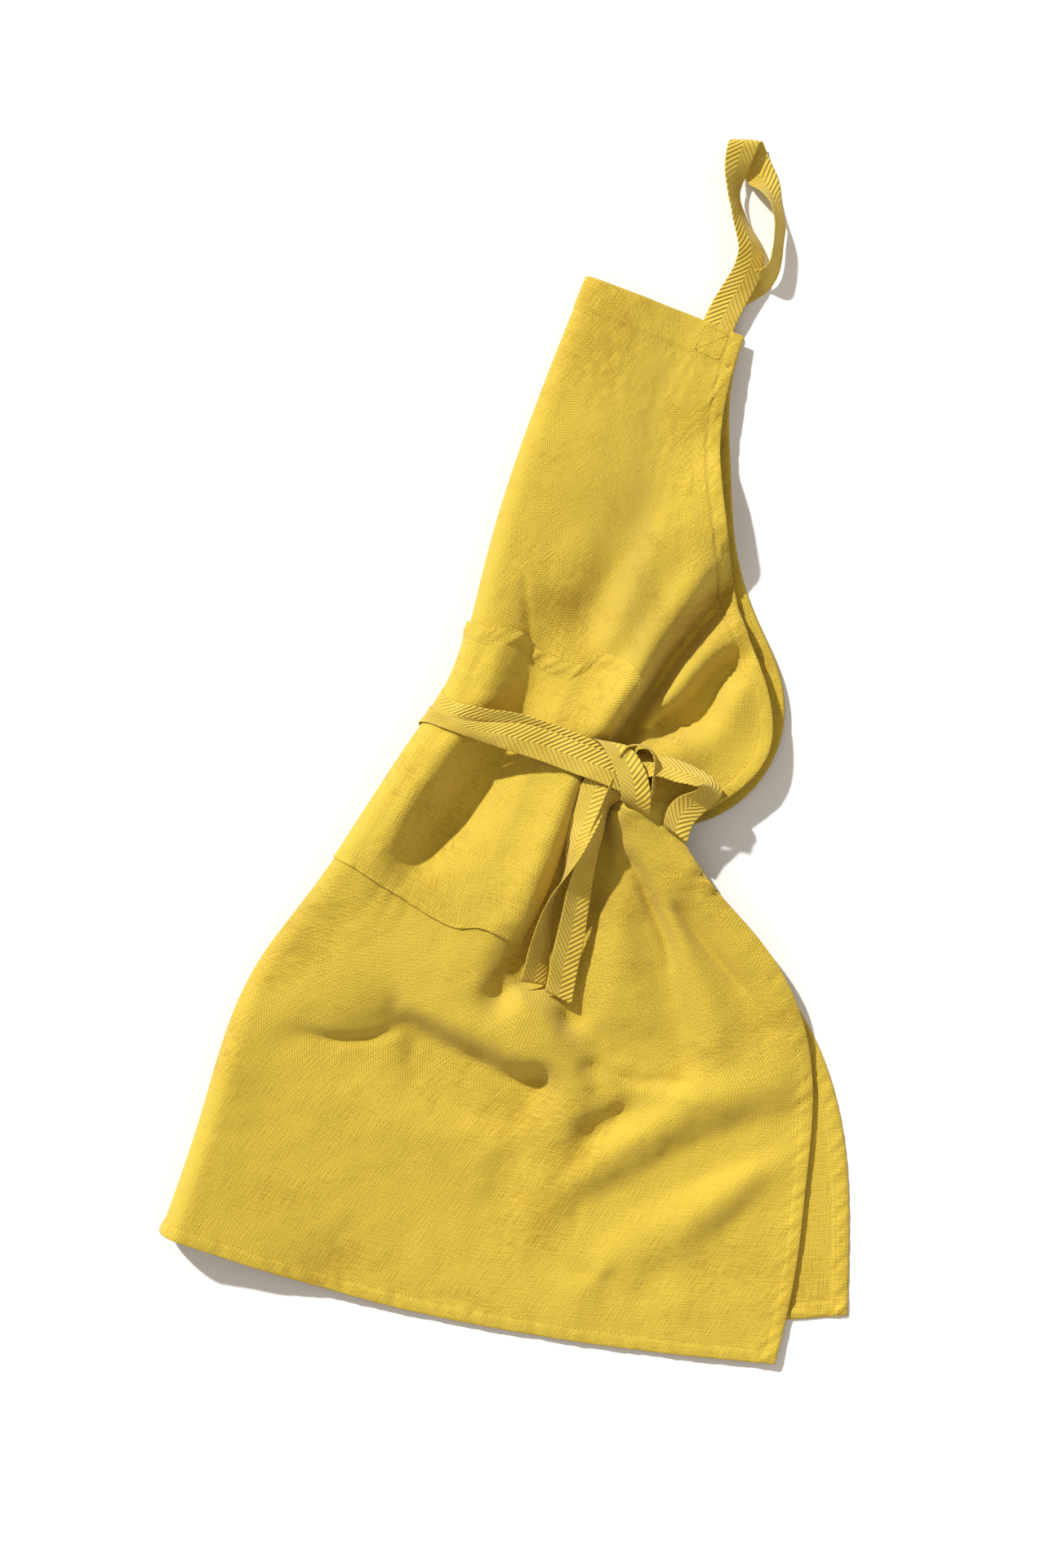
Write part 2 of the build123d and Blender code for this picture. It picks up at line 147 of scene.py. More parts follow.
def bicubic(field, x, y):
    """Smooth samples of a field at fractional columns x and rows y."""
    rows, columns = field.shape
    x = np.clip(x, 1, columns - 2.001)
    y = np.clip(y, 1, rows - 2.001)
    i, j = x.astype(int), y.astype(int)
    fx, fy = x - i, y - j

    def weights(f):
        return (
            -0.5 * f + f * f - 0.5 * f**3, 1 - 2.5 * f * f + 1.5 * f**3,
            0.5 * f + 2 * f * f - 1.5 * f**3, -0.5 * f * f + 0.5 * f**3,
        )

    total = 0
    for dy, wy in zip((-1, 0, 1, 2), weights(fy)):
        for dx, wx in zip((-1, 0, 1, 2), weights(fx)):
            total = total + wy * wx * field[np.clip(j + dy, 0, rows - 1), np.clip(i + dx, 0, columns - 1)]
    return total


# ---------------------------------------------------------------- outlines of the two halves
FOLD_LINE = smooth_curve(
    [(0, 0), (-9, 100), (-18, 225), (-2, 300), (25, WAIST - 30), (32, WAIST + 15), (20, 600), (6, 720),
     (0, BODY_LENGTH)], 500)
UPPER_HEM = smooth_curve([(0, 0), (100, 7), (200, 20), (300, 42), (400, 70), (500, 103)], 300)
LOWER_HEM = smooth_curve([(0, 0), (100, 8), (250, 38), (400, 92), (LOWER_REACH, 163)], 300)
BIB_EDGE = smooth_curve([(0, BODY_LENGTH), (70, BODY_LENGTH + 4), (BIB_HALF, BIB_TOP)], 100)
UPPER_SKIRT = smooth_curve(
    [(500, 103), (486, 175), (463, 250), (435, 325), (400, 375), (345, 415), (296, 438), (246, 470)], 300)
LOWER_SKIRT = smooth_curve(
    [(LOWER_REACH, 163), (515, 220), (480, 290), (430, 352), (370, 395), (306, 430), (248, 468)], 300)
UPPER_WING = smooth_curve(
    [(246, 470), (271, 500), (292, 555), (270, 602), (225, 650), (190, 702), (160, 755), (141, 820),
     (BIB_HALF, BIB_TOP)], 300)
LOWER_WING = smooth_curve(
    [(248, 468), (278, 495), (298, 565), (280, 612), (238, 654), (200, 700), (170, 757), (143, 820),
     (BIB_HALF, BIB_TOP)], 300)


def line_length(curve):
    return np.linalg.norm(np.diff(curve, axis=0), axis=1).sum()


def edge_point(t, upper):
    """The open side edge at a share of the cloth's length, even with the fold line near hem and bib."""
    skirt, wing = (UPPER_SKIRT, UPPER_WING) if upper else (LOWER_SKIRT, LOWER_WING)
    below = t / EDGE_WAIST_SHARE
    above = (1 - t) / (1 - EDGE_WAIST_SHARE)
    even = (1 - EDGE_WAIST_SHARE) * BODY_LENGTH / line_length(wing)
    from_top = even * above + (1 - even) * above**2
    return np.where((t < EDGE_WAIST_SHARE)[..., None], share_of(skirt, below), share_of(wing, 1 - from_top))


def plan_point(s, t, upper):
    """Where the point s across and t along lies on the table: a patch between four outlines."""
    hem = UPPER_HEM if upper else LOWER_HEM
    s, t = np.broadcast_arrays(s, t)
    a, b = s[..., None], t[..., None]
    sides = share_of(FOLD_LINE, t) * (1 - a) + edge_point(t, upper) * a
    ends = share_of(hem, s) * (1 - b) + share_of(BIB_EDGE, s) * b
    corners = (
        hem[0] * ((1 - a) * (1 - b)) + hem[-1] * (a * (1 - b))
        + BIB_EDGE[0] * ((1 - a) * b) + BIB_EDGE[-1] * (a * b)
    )
    return sides + ends - corners


# ---------------------------------------------------------------- heights of the folded cloth
LOWER_REST = 0.4  # middle of the lower layer where it lies on the table
UNDER_LIFT = 4.1  # how far the ties and the pocket beneath raise it
WING_CURL = 6.0  # how far it curls up at the wing's edge


def lower_height(x, y):
    """Middle of the lower layer: flat on the table, raised by what is under it, curling at the wing."""
    lift = UNDER_LIFT * np.exp(-(((y - WAIST + 35) / 150) ** 4)) / (1 + (np.maximum(x, 0) / 330) ** 6)
    wing = WING_CURL * np.exp(-(((x - 292) / 60) ** 2) - ((y - WAIST - 95) / 80) ** 2)
    return LOWER_REST + lift + wing


# Crests and hollows of the upper layer, each a line of (x, y, height): the cloth is the smoothest plate
# through them all.
CLOTH_LINES = {
    "fold_crest": [
        (17, 0, 37), (9, 60, 36), (6, 120, 34), (2, 180, 32), (0, 225, 30), (9, 275, 30), (17, 310, 32),
        (24, 350, 35), (32, 400, 38), (42, 455, 38), (48, 485, 36), (46, 515, 36), (40, 560, 36),
        (34, 620, 33), (26, 700, 27), (20, 780, 20), (15, 850, 14)],
    "hem": [
        (55, 4, 29), (95, 7, 21), (136, 11, 11), (170, 16, 8), (240, 28, 4.5), (300, 42, 4), (370, 62, 4),
        (430, 80, 4), (500, 103, 5)],
    "skirt_low_row": [
        (50, 60, 27), (95, 66, 20), (150, 75, 12), (200, 85, 8), (260, 95, 6), (320, 108, 6), (400, 120, 6),
        (470, 130, 5)],
    "skirt_row_130": [(32, 130, 27), (70, 130, 22), (120, 130, 17), (180, 135, 11), (225, 140, 8)],
    "skirt_row_180": [(30, 180, 26), (70, 172, 21), (120, 172, 16), (180, 175, 10), (222, 175, 8)],
    "left_ridge": [(15, 200, 30), (40, 208, 28), (65, 222, 26), (85, 236, 24), (100, 248, 23)],
    "left_hollow": [(40, 190, 24), (70, 196, 19), (90, 208, 15), (112, 220, 13)],
    "belly_crest": [
        (98, 256, 28), (125, 262, 32), (150, 264, 32), (175, 266, 31), (200, 268, 30), (225, 262, 27)],
    "belly_brow": [
        (106, 250, 27), (130, 249, 28), (155, 248, 28), (185, 247, 27), (212, 246, 25), (229, 247, 20)],
    "belly_hollow": [
        (112, 237, 14), (130, 233, 9), (150, 230, 6), (185, 227, 4), (212, 228, 4), (230, 234, 5)],
    "above_belly_left": [(30, 290, 30), (55, 292, 31), (90, 296, 31), (130, 298, 31), (155, 292, 30)],
    "pocket_bottom_row": [(30, 332, 33), (60, 326, 29), (100, 320, 26), (130, 322, 26), (150, 325, 25)],
    "left_bulge": [(55, 462, 40), (48, 430, 40), (42, 395, 39), (38, 365, 37), (36, 345, 35)],
    "left_valley": [(92, 472, 14), (85, 440, 10), (78, 410, 9), (72, 385, 12), (66, 362, 18), (62, 345, 25)],
    "mid_shoulder": [(118, 472, 24), (112, 440, 22), (105, 410, 20), (97, 385, 20), (90, 360, 22)],
    "mid_ridge": [
        (146, 478, 34), (146, 450, 33), (146, 420, 32), (146, 390, 31), (146, 360, 29), (146, 335, 27)],
    "mid_ridge_right": [(163, 470, 30), (165, 440, 29), (167, 410, 28), (168, 380, 27), (168, 350, 25)],
    "gap": [(174, 478, 7), (178, 440, 5), (181, 400, 5), (184, 360, 5), (187, 325, 5), (187, 305, 6)],
    "gap_hollow": [(179, 302, 11), (175, 289, 16)],
    "tail_ridge": [
        (188, 292, 26), (205, 290, 27), (222, 283, 26), (238, 273, 24), (252, 263, 21), (272, 252, 17),
        (290, 244, 15)],
    "tail_floor": [(205, 430, 8), (212, 390, 7), (220, 350, 7), (226, 310, 7), (232, 290, 7)],
    "right_floor": [(250, 300, 10), (275, 288, 7), (300, 284, 4), (325, 286, 4)],
    "gather_pleat": [(200, 462, 30), (225, 455, 29), (250, 452, 27), (275, 447, 25), (300, 437, 24)],
    "side_edge": [
        (246, 470, 26), (296, 438, 22), (345, 415, 20), (372, 398, 19), (400, 375, 14), (435, 325, 7),
        (463, 250, 5), (486, 175, 4.5)],
    "pleat_ridge": [
        (228, 444, 26), (250, 427, 23), (272, 404, 21), (292, 388, 20), (312, 368, 19), (332, 345, 18),
        (352, 318, 16)],
    "groove_left": [
        (213, 434, 17), (234, 421, 17), (256, 401, 16), (272, 384, 14), (290, 360, 11), (310, 334, 8),
        (326, 308, 6)],
    "outer_pleat": [(284, 428, 23), (312, 413, 21), (342, 394, 19), (368, 379, 16), (392, 356, 13)],
    "outer_groove": [(278, 409, 18), (300, 396, 14), (320, 386, 13), (348, 372, 11), (380, 355, 10)],
    "right_slope": [(272, 352, 14), (288, 332, 11), (304, 314, 8)],
    "between_grooves": [(235, 390, 19), (249, 360, 18), (262, 330, 15), (268, 308, 12)],
    "crease_low": [(266, 264, 13), (284, 266, 12), (302, 268, 10), (338, 279, 9)],
    "below_crease": [(248, 243, 20), (262, 224, 17), (270, 206, 14), (264, 190, 10)],
    "below_crease_hollow": [(304, 240, 7), (299, 226, 6), (289, 209, 5)],
    "diagonal_ridge": [(287, 175, 11), (311, 214, 14), (343, 255, 16), (382, 291, 16), (411, 316, 13)],
    "diagonal_left": [(278, 160, 9), (292, 195, 10), (315, 240, 11), (347, 288, 13), (372, 318, 14)],
    "diagonal_floor": [
        (306, 160, 4), (332, 184, 3), (354, 215, 3), (381, 247, 3), (410, 272, 3), (432, 288, 4)],
    "floor_beyond": [(345, 165, 5), (375, 200, 6), (405, 235, 6), (435, 260, 6)],
    "dark_spot": [(300, 140, 4.5), (312, 133, 5)],
    "band_b_crest": [(385, 168, 11), (402, 205, 12), (418, 240, 9)],
    "band_b_hollow": [(408, 170, 5), (425, 205, 5), (437, 235, 5)],
    "band_c": [(335, 100, 8), (350, 128, 9), (372, 150, 8)],
    "band_c_hollow": [(368, 100, 4.5), (385, 130, 4.5), (400, 150, 5)],
    "mid_crease": [(236, 225, 8), (237, 190, 6), (237, 150, 5), (240, 110, 5)],
    "mid_beyond": [(262, 170, 8), (262, 140, 8), (270, 115, 6.5)],
    # bib, pocket mouth and wing
    "bib_edge": [(45, 851, 14), (75, 853, 12), (105, 855, 11), (137, 857, 10)],
    "bib_row_780": [(50, 785, 20), (85, 790, 20), (120, 795, 20), (146, 795, 18)],
    "bib_row_700": [(60, 710, 26), (95, 715, 26), (130, 720, 29), (158, 733, 32)],
    "bib_row_630": [(65, 640, 29), (95, 640, 27)],
    "bib_row_590": [(60, 605, 33), (92, 610, 27)],
    "bib_valley": [(127, 690, 27), (122, 655, 23.5), (120, 620, 22), (121, 585, 21.5)],
    "bib_shoulder": [(141, 690, 31.5), (138, 655, 31), (137, 620, 30.5), (137, 585, 30)],
    "armhole_edge": [
        (156, 762, 22), (164, 750, 29), (176, 731, 33), (186, 712, 34), (193, 698, 29), (206, 676, 18),
        (225, 650, 15)],
    "armhole_ridge": [
        (176, 715, 33), (172, 690, 33), (166, 660, 32), (160, 625, 32), (155, 590, 32), (152, 560, 33),
        (150, 525, 34)],
    "ridge_right": [
        (192, 690, 27), (189, 665, 29), (186, 640, 30), (182, 615, 30), (178, 590, 30), (177, 565, 30),
        (173, 540, 30), (167, 515, 30)],
    "trench": [
        (210, 660, 6), (206, 642, 5), (200, 625, 5), (196, 608, 5), (191, 590, 5), (188, 570, 5),
        (184, 548, 6), (181, 528, 7), (177, 508, 9)],
    "wing_ridge": [
        (223, 645, 19), (217, 628, 22), (211, 610, 24), (206, 595, 25), (201, 575, 25), (196, 556, 25),
        (190, 536, 24)],
    "wing_ridge_foot": [(190, 516, 20), (197, 510, 24)],
    "wing_hollow": [(237, 604, 6), (230, 592, 5), (225, 578, 5), (222, 566, 5), (212, 553, 5), (203, 541, 7)],
    "wing_plateau": [
        (248, 622, 18), (247, 598, 20), (243, 582, 21), (246, 562, 21), (236, 546, 21), (218, 536, 21),
        (205, 522, 23)],
    "wing_outer": [(262, 590, 22), (272, 570, 22), (268, 545, 22), (252, 525, 23), (240, 508, 25)],
    "wing_edge": [
        (250, 622, 20), (270, 602, 22), (289, 575, 23), (291, 550, 24), (280, 520, 24), (262, 490, 25)],
    "knot_bed": [(205, 492, 30), (225, 485, 29), (240, 478, 28)],
    "mouth_bulge": [(60, 545, 37), (64, 520, 38), (64, 500, 38)],
    "mouth_valley": [(62, 590, 32), (73, 572, 28), (85, 550, 22), (91, 525, 20), (93, 503, 19)],
    "mouth_right": [(108, 560, 23), (112, 535, 22), (115, 510, 24)],
}
# Sharp creases pressed into the folds: (depth, width, line of (x, y)).
CREASES = [
    (5.0, 4.5, [(276, 409), (288, 403), (300, 396), (320, 386), (350, 372)]),
    (6.0, 5.0, [(260, 264), (280, 265), (300, 268), (320, 275), (346, 282)]),
    (4.0, 4.5, [(258, 259), (268, 253), (280, 247), (297, 240), (308, 232)]),
    (5.0, 5.0, [(108, 228), (90, 212), (78, 205), (60, 199), (38, 195)]),
    (3.5, 4.0, [(54, 602), (60, 592), (68, 578), (77, 563), (84, 546)]),
    (10.0, 5.5, [(215, 433), (235, 423), (256, 403), (276, 386), (292, 364)]),
    (4.5, 4.5, [(188, 520), (200, 537), (214, 548), (229, 555), (236, 568), (236, 585)]),
    (1.4, 3.5, [(215, 36), (228, 42), (242, 46), (268, 48)]),
    (3.0, 5.0, [(209, 660), (204, 642), (198, 622), (192, 602), (187, 578), (182, 548)]),
    (1.6, 4.0, [(330, 380), (350, 372), (372, 362), (392, 350)]),
    (1.2, 3.5, [(60, 330), (62, 318), (60, 306)]), (1.0, 3.0, [(48, 331), (49, 322), (47, 314)]),
    (1.0, 3.0, [(74, 327), (76, 316), (74, 308)]), (1.3, 3.5, [(298, 158), (305, 145), (306, 130)]),
]
LINE_STEP, CREASE_STEP = 12.0, 2.5  # millimetres between samples of a height line and of a crease
STEP = 2.0  # millimetres between the height map's samples
PLATE_UNIT = 100.0  # the plate is solved in decimetres, which keeps its numbers near one
PLATE_SLACK = 3e-6  # how freely the plate may miss the lines
RELIEF = 0.45  # how much the folds are deepened beyond the lines above
RELIEF_REACH = 32.0  # folds wider than about this are left as they are
LEAST_HEIGHT = 3.0  # of the upper layer over the table
LAYER_GAP = 1.6  # between the middles of the two layers
FLOOR_SOFTNESS = 2.0
SWELL_HEIGHT = 0.30
RUMPLE_HEIGHT = 0.16
# Two creases kept from when the apron lay folded up: their places, width and heights.
KEPT_DOWN_X, KEPT_ACROSS_Y, KEPT_WIDTH = 237, 117, 2.4
KEPT_DOWN_HEIGHT, KEPT_ACROSS_HEIGHT = 0.75, 0.4
# The map reaches past the cloth on every side.
MAP_X = np.arange(-40, 561, STEP)
MAP_Y = np.arange(-30, 891, STEP)


def plate_through(points):
    """Heights on the map of the thin plate that passes through the points, slightly relaxed."""
    xy, z = points[:, :2] / PLATE_UNIT, points[:, 2]
    n = len(xy)

    def kernel(d2):
        return 0.5 * d2 * np.log(d2 + 1e-12)

    matrix = np.zeros((n + 3, n + 3))
    matrix[:n, :n] = kernel(((xy[:, None] - xy[None]) ** 2).sum(-1)) + np.eye(n) * PLATE_SLACK
    matrix[:n, n:] = np.column_stack([np.ones(n), xy])
    matrix[n:, :n] = matrix[:n, n:].T
    answer = np.linalg.solve(matrix, np.concatenate([z, np.zeros(3)]))
    gx, gy = np.meshgrid(MAP_X / PLATE_UNIT, MAP_Y / PLATE_UNIT)
    field = answer[n] + answer[n + 1] * gx + answer[n + 2] * gy
    for k in range(n):
        field += answer[k] * kernel((gx - xy[k, 0]) ** 2 + (gy - xy[k, 1]) ** 2)
    return field


def weighted(field, weights, axis, **padding):
    """The field averaged with the weights along one axis, padded so that its shape stays."""
    size = len(weights) // 2
    wide = np.pad(field, [(size, size) if a == axis else (0, 0) for a in (0, 1)], **padding)
    return np.apply_along_axis(np.convolve, axis, wide, weights / weights.sum(), "valid")


def blurred(field, reach):
    """The field without its waves shorter than about the reach, in millimetres."""
    size = int(3 * reach / STEP)
    weights = np.exp(-0.5 * ((np.arange(-size, size + 1) * STEP) / reach) ** 2)
    return weighted(weighted(field, weights, 0, mode="edge"), weights, 1, mode="edge")


def soft_floor(field, floor, soft):
    """The field where it is above the floor, easing onto the floor where it isn't."""
    over = field - floor
    return floor + 0.5 * (over + np.sqrt(over * over + soft * soft))


def upper_map():
    """Heights of the upper layer's middle: a plate through the lines, then deepened, rumpled and creased."""
    samples = []
    for line in CLOTH_LINES.values():
        length = line_length(np.array(line, float)[:, :2])
        samples.append(smooth_curve(line, max(2, round(length / LINE_STEP))))
    field = plate_through(np.concatenate(samples))
    field = soft_floor(field, LEAST_HEIGHT, FLOOR_SOFTNESS)
    field += RELIEF * (field - blurred(field, RELIEF_REACH))
    gx, gy = np.meshgrid(MAP_X, MAP_Y)
    field = soft_floor(field, lower_height(gx, gy) + LAYER_GAP, FLOOR_SOFTNESS)
    shape = field.shape
    field += SWELL_HEIGHT * smooth_noise(shape, STEP, longest=160, shortest=30, seed=11)
    rumple = smooth_noise(shape, STEP, longest=40, shortest=9, seed=12)
    patches = ease(0.5 + 0.6 * smooth_noise(shape, STEP, longest=500, shortest=90, seed=13))
    field += RUMPLE_HEIGHT * rumple * (0.35 + patches)
    for depth, width, line in CREASES:
        curve = smooth_curve(line, max(12, round(line_length(np.array(line, float)) / CREASE_STEP)))
        near = np.zeros(shape)
        for i, (x, y) in enumerate(curve):
            fade = math.sin(math.pi * (i + 1) / (len(curve) + 1)) ** 0.5
            near = np.maximum(near, fade * np.exp(-((gx - x) ** 2 + (gy - y) ** 2) / width**2))
        field -= depth * near
    down = np.exp(-(((gx - KEPT_DOWN_X) / KEPT_WIDTH) ** 2))
    down *= ease((gy - 100) / 20) * ease((250 - gy) / 20)
    across = np.exp(-(((gy - KEPT_ACROSS_Y - 0.03 * gx) / KEPT_WIDTH) ** 2))
    across *= ease((gx - 90) / 30) * ease((236 - gx) / 10)
    return field + KEPT_DOWN_HEIGHT * down + KEPT_ACROSS_HEIGHT * across


UPPER_MAP = upper_map()


def upper_height(x, y):
    """Middle of the upper layer."""
    return bicubic(UPPER_MAP, (x - MAP_X[0]) / STEP, (y - MAP_Y[0]) / STEP)


FOLD_RADIUS = 16.0


def fold_x(y):
    """X of the fold's outermost line at a length Y."""
    return np.interp(y, FOLD_LINE[:, 1], FOLD_LINE[:, 0])


def loop_point(angle, y):
    """Round the fold: angle -90 degrees on the lower layer, 0 at the outermost, 90 on the upper."""
    left = fold_x(y)
    low = lower_height(left, y)
    high = upper_height(left + FOLD_RADIUS, y)
    x = left + FOLD_RADIUS * (1 - np.cos(angle))
    z = 0.5 * (low + high) + 0.5 * (high - low) * np.sin(angle)
    return np.stack([x, y + 0 * angle, z], -1)


# ---------------------------------------------------------------- meshes
def to_part(points):
    """From pattern millimetres to the part's metres."""
    return (points - ORIGIN) * MM


def normals_of(grid):
    """The unit normal at each point of a grid."""
    across = np.gradient(grid, axis=1)
    along = np.gradient(grid, axis=0)
    n = np.cross(across, along)
    return n / np.maximum(np.linalg.norm(n, axis=-1, keepdims=True), 1e-9)


def lengths_of(grid):
    """Running lengths across and along a grid, for a weave that doesn't stretch."""
    across = np.linalg.norm(np.diff(grid, axis=1), axis=-1)
    along = np.linalg.norm(np.diff(grid, axis=0), axis=-1)
    u = np.concatenate([np.zeros((len(grid), 1)), np.cumsum(across, axis=1)], axis=1)
    v = np.concatenate([np.zeros((1, grid.shape[1])), np.cumsum(along, axis=0)], axis=0)
    return np.stack([u, v], -1)


SMOOTHED_ROWS = 19  # neighbours on either side that even out a thread's length


def thread_lengths(size):
    """The running lengths as straight threads see them, without the small folds' differences between rows."""
    weights = np.hanning(2 * SMOOTHED_ROWS + 3)[1:-1]
    return np.stack([
        weighted(size[..., part], weights, part, mode="reflect", reflect_type="odd") for part in (0, 1)
    ], -1)


def make_object(name, vertices, faces, uv, material, smooth=True):
    """A mesh object in the scene, with a place on the cloth for each vertex where the weave needs one."""
    mesh = bpy.data.meshes.new(name)
    mesh.from_pydata([tuple(v) for v in vertices], [], [tuple(f) for f in faces])
    if uv is not None:
        layer = mesh.uv_layers.new(name="cloth_metres")
        index = np.empty(len(mesh.loops), int)
        mesh.loops.foreach_get("vertex_index", index)
        layer.data.foreach_set("uv", uv[index].ravel().astype(np.float32))
    mesh.polygons.foreach_set("use_smooth", [smooth] * len(mesh.polygons))
    mesh.validate()
    mesh.update()
    piece = bpy.data.objects.new(name, mesh)
    bpy.context.scene.collection.objects.link(piece)
    mesh.materials.append(material)
    return piece


def shell(name, outer, inner, uv, material):
    """A closed sheet between two grids of points, in pattern millimetres."""
    rows, columns = outer.shape[:2]
    count = rows * columns
    index = np.arange(count).reshape(rows, columns)
    a, b, c, d = index[:-1, :-1], index[:-1, 1:], index[1:, 1:], index[1:, :-1]
    top = np.stack([a, b, c, d], -1).reshape(-1, 4)
    bottom = np.stack([d, c, b, a], -1).reshape(-1, 4) + count
    rim = np.concatenate([index[0, :], index[1:, -1], index[-1, -2::-1], index[-2:0:-1, 0]])
    following = np.roll(rim, -1)
    wall = np.stack([following, rim, rim + count, following + count], -1)
    vertices = to_part(np.concatenate([outer.reshape(-1, 3), inner.reshape(-1, 3)]))
    both = np.concatenate([uv.reshape(-1, 2)] * 2) * MM
    return make_object(name, vertices, np.concatenate([top, bottom, wall]), both, material)


# ---------------------------------------------------------------- materials
def linear(hex_colour):
    """An sRGB hex colour as linear RGBA."""
    value = [int(hex_colour[i:i + 2], 16) / 255 for i in (1, 3, 5)]
    return tuple(c / 12.92 if c <= 0.04045 else ((c + 0.055) / 1.055) ** 2.4 for c in value) + (1.0,)


def node(tree, kind, settings=None, **links):
    """Adds a node with its settings; a link is another node's output, and a plain value is set."""
    made = tree.nodes.new(kind)
    for name, value in (settings or {}).items():
        setattr(made, name, value)
    for name, value in links.items():
        socket = made.inputs[int(name[1:])] if name[0] == "i" and name[1:].isdigit() else made.inputs[name]
        if isinstance(value, bpy.types.NodeSocket):
            tree.links.new(value, socket)
        else:
            socket.default_value = value
    return made


def new_material(name):
    """An empty node material."""
    material = bpy.data.materials.new(name)
    material.use_nodes = True
    tree = material.node_tree
    tree.nodes.clear()
    return material, tree


def woven_lengths(tree):
    """Running lengths in metres across and along the cloth, together and apart."""
    uv = node(tree, "ShaderNodeUVMap", {"uv_map": "cloth_metres"}).outputs[0]
    return uv, *node(tree, "ShaderNodeSeparateXYZ", i0=uv).outputs[:2]


def finish_dyed(tree, settings, tone, tone_range, relief, relief_strength, relief_height, **surface):
    """Raises the threads by their relief and colours them between the deep and the light shade by their tone,
    which holds uneven dye patches and, on the tape, painted shade between the ribs.
    """
    bump = node(
        tree, "ShaderNodeBump", Strength=relief_strength, Distance=relief_height, Height=relief)
    ramp = node(tree, "ShaderNodeValToRGB", Fac=tone)
    shades = (settings.shade_colour, settings.light_colour)
    for element, position, shade in zip(ramp.color_ramp.elements, tone_range, shades):
        element.position = position
        element.color = linear(shade)
    shader = node(
        tree, "ShaderNodeBsdfPrincipled",
        **{"Base Color": ramp.outputs[0], "Normal": bump.outputs[0]}, **surface)
    node(tree, "ShaderNodeOutputMaterial", Surface=shader.outputs[0])


SLUB_SCALE = (60.0, 900.0, 1.0)  # a slub runs about 17 mm along its thread and is 1 mm wide


def cloth_material(settings):
    """Cotton-linen plain weave, sewn up and then garment-dyed and washed: dry, soft and a little uneven."""
    material, tree = new_material("garment_dyed_cotton_linen")
    uv, across, along = woven_lengths(tree)
    # A thread each 0.55 mm would be lost at this distance, so the weave is drawn at the pitch in the settings.
    turns = math.tau / settings.thread_pitch
    waver = node(tree, "ShaderNodeTexNoise", Vector=uv, Scale=260.0, Detail=2.0)
    threads, slubs = [], []
    for length, scale in ((across, SLUB_SCALE), (along, (SLUB_SCALE[1], SLUB_SCALE[0], 1.0))):
        phase = node(tree, "ShaderNodeMath", {"operation": "MULTIPLY"}, i0=length, i1=turns)
        wavy = node(
            tree, "ShaderNodeMath", {"operation": "MULTIPLY_ADD"},
            i0=waver.outputs[0], i1=2.6, i2=phase.outputs[0])
        threads.append(node(tree, "ShaderNodeMath", {"operation": "SINE"}, i0=wavy.outputs[0]).outputs[0])
        # Linen slubs: threads that swell for a short way along the weft and the warp.
        stretched = node(tree, "ShaderNodeMapping", Vector=uv, Scale=scale)
        slub = node(tree, "ShaderNodeTexNoise", Vector=stretched.outputs[0], Scale=1.0, Detail=3.0)
        slubs.append(slub.outputs[0])
    weave = node(tree, "ShaderNodeMath", {"operation": "MULTIPLY"}, i0=threads[0], i1=threads[1])
    slubs = node(tree, "ShaderNodeMath", {"operation": "ADD"}, i0=slubs[0], i1=slubs[1])
    relief = node(
        tree, "ShaderNodeMath", {"operation": "MULTIPLY_ADD"},
        i0=weave.outputs[0], i1=0.28, i2=slubs.outputs[0])
    # The dye took unevenly, in soft patches of about a hand's width.
    patches = node(tree, "ShaderNodeTexNoise", Vector=uv, Scale=9.0, Detail=6.0, Roughness=0.55)
    tone = node(
        tree, "ShaderNodeMath", {"operation": "MULTIPLY_ADD"},
        i0=slubs.outputs[0], i1=0.55, i2=patches.outputs[0])
    finish_dyed(
        tree, settings, tone.outputs[0], (0.86, 1.0), relief.outputs[0], 1.0, 0.0009,
        **{"Roughness": 0.86, "Sheen Weight": 0.18, "Sheen Roughness": 0.5, "Specular IOR Level": 0.25})
    return material


def tape_material(settings):
    """Cotton herringbone tape, garment-dyed with the apron: one chevron of raised ribs, two columns wide."""
    material, tree = new_material("cotton_herringbone_tape")
    uv, across, along = woven_lengths(tree)
    # The ribs rise at 45 degrees on either side of the tape's middle.
    aside = node(tree, "ShaderNodeMath", {"operation": "SUBTRACT"}, i0=across, i1=TAPE * MM / 2)
    away = node(tree, "ShaderNodeMath", {"operation": "ABSOLUTE"}, i0=aside.outputs[0])
    slope = node(tree, "ShaderNodeMath", {"operation": "ADD"}, i0=away.outputs[0], i1=along)
    # Real ribs are too fine to see from here, so they are drawn at the pitch in the settings.
    turns = math.tau / settings.rib_pitch
    ribs = node(tree, "ShaderNodeMath", {"operation": "MULTIPLY"}, i0=slope.outputs[0], i1=turns)
    wave = node(tree, "ShaderNodeMath", {"operation": "SINE"}, i0=ribs.outputs[0])
    fibre = node(tree, "ShaderNodeTexNoise", Vector=uv, Scale=900.0, Detail=3.0)
    relief = node(
        tree, "ShaderNodeMath", {"operation": "MULTIPLY_ADD"},
        i0=fibre.outputs[0], i1=0.8, i2=wave.outputs[0])
    # The tone mixes soft dye patches with the rib wave: painted shade darkens the grooves between the ribs, and
    # the ribs are painted lighter.
    patches = node(tree, "ShaderNodeTexNoise", Vector=uv, Scale=25.0, Detail=4.0)
    tone = node(
        tree, "ShaderNodeMath", {"operation": "MULTIPLY_ADD"},
        i0=wave.outputs[0], i1=0.07, i2=patches.outputs[0])
    finish_dyed(
        tree, settings, tone.outputs[0], (0.30, 0.70), relief.outputs[0], 0.9, 0.0005,
        **{"Roughness": 0.82, "Sheen Weight": 0.12, "Sheen Roughness": 0.5, "Specular IOR Level": 0.25})
    return material


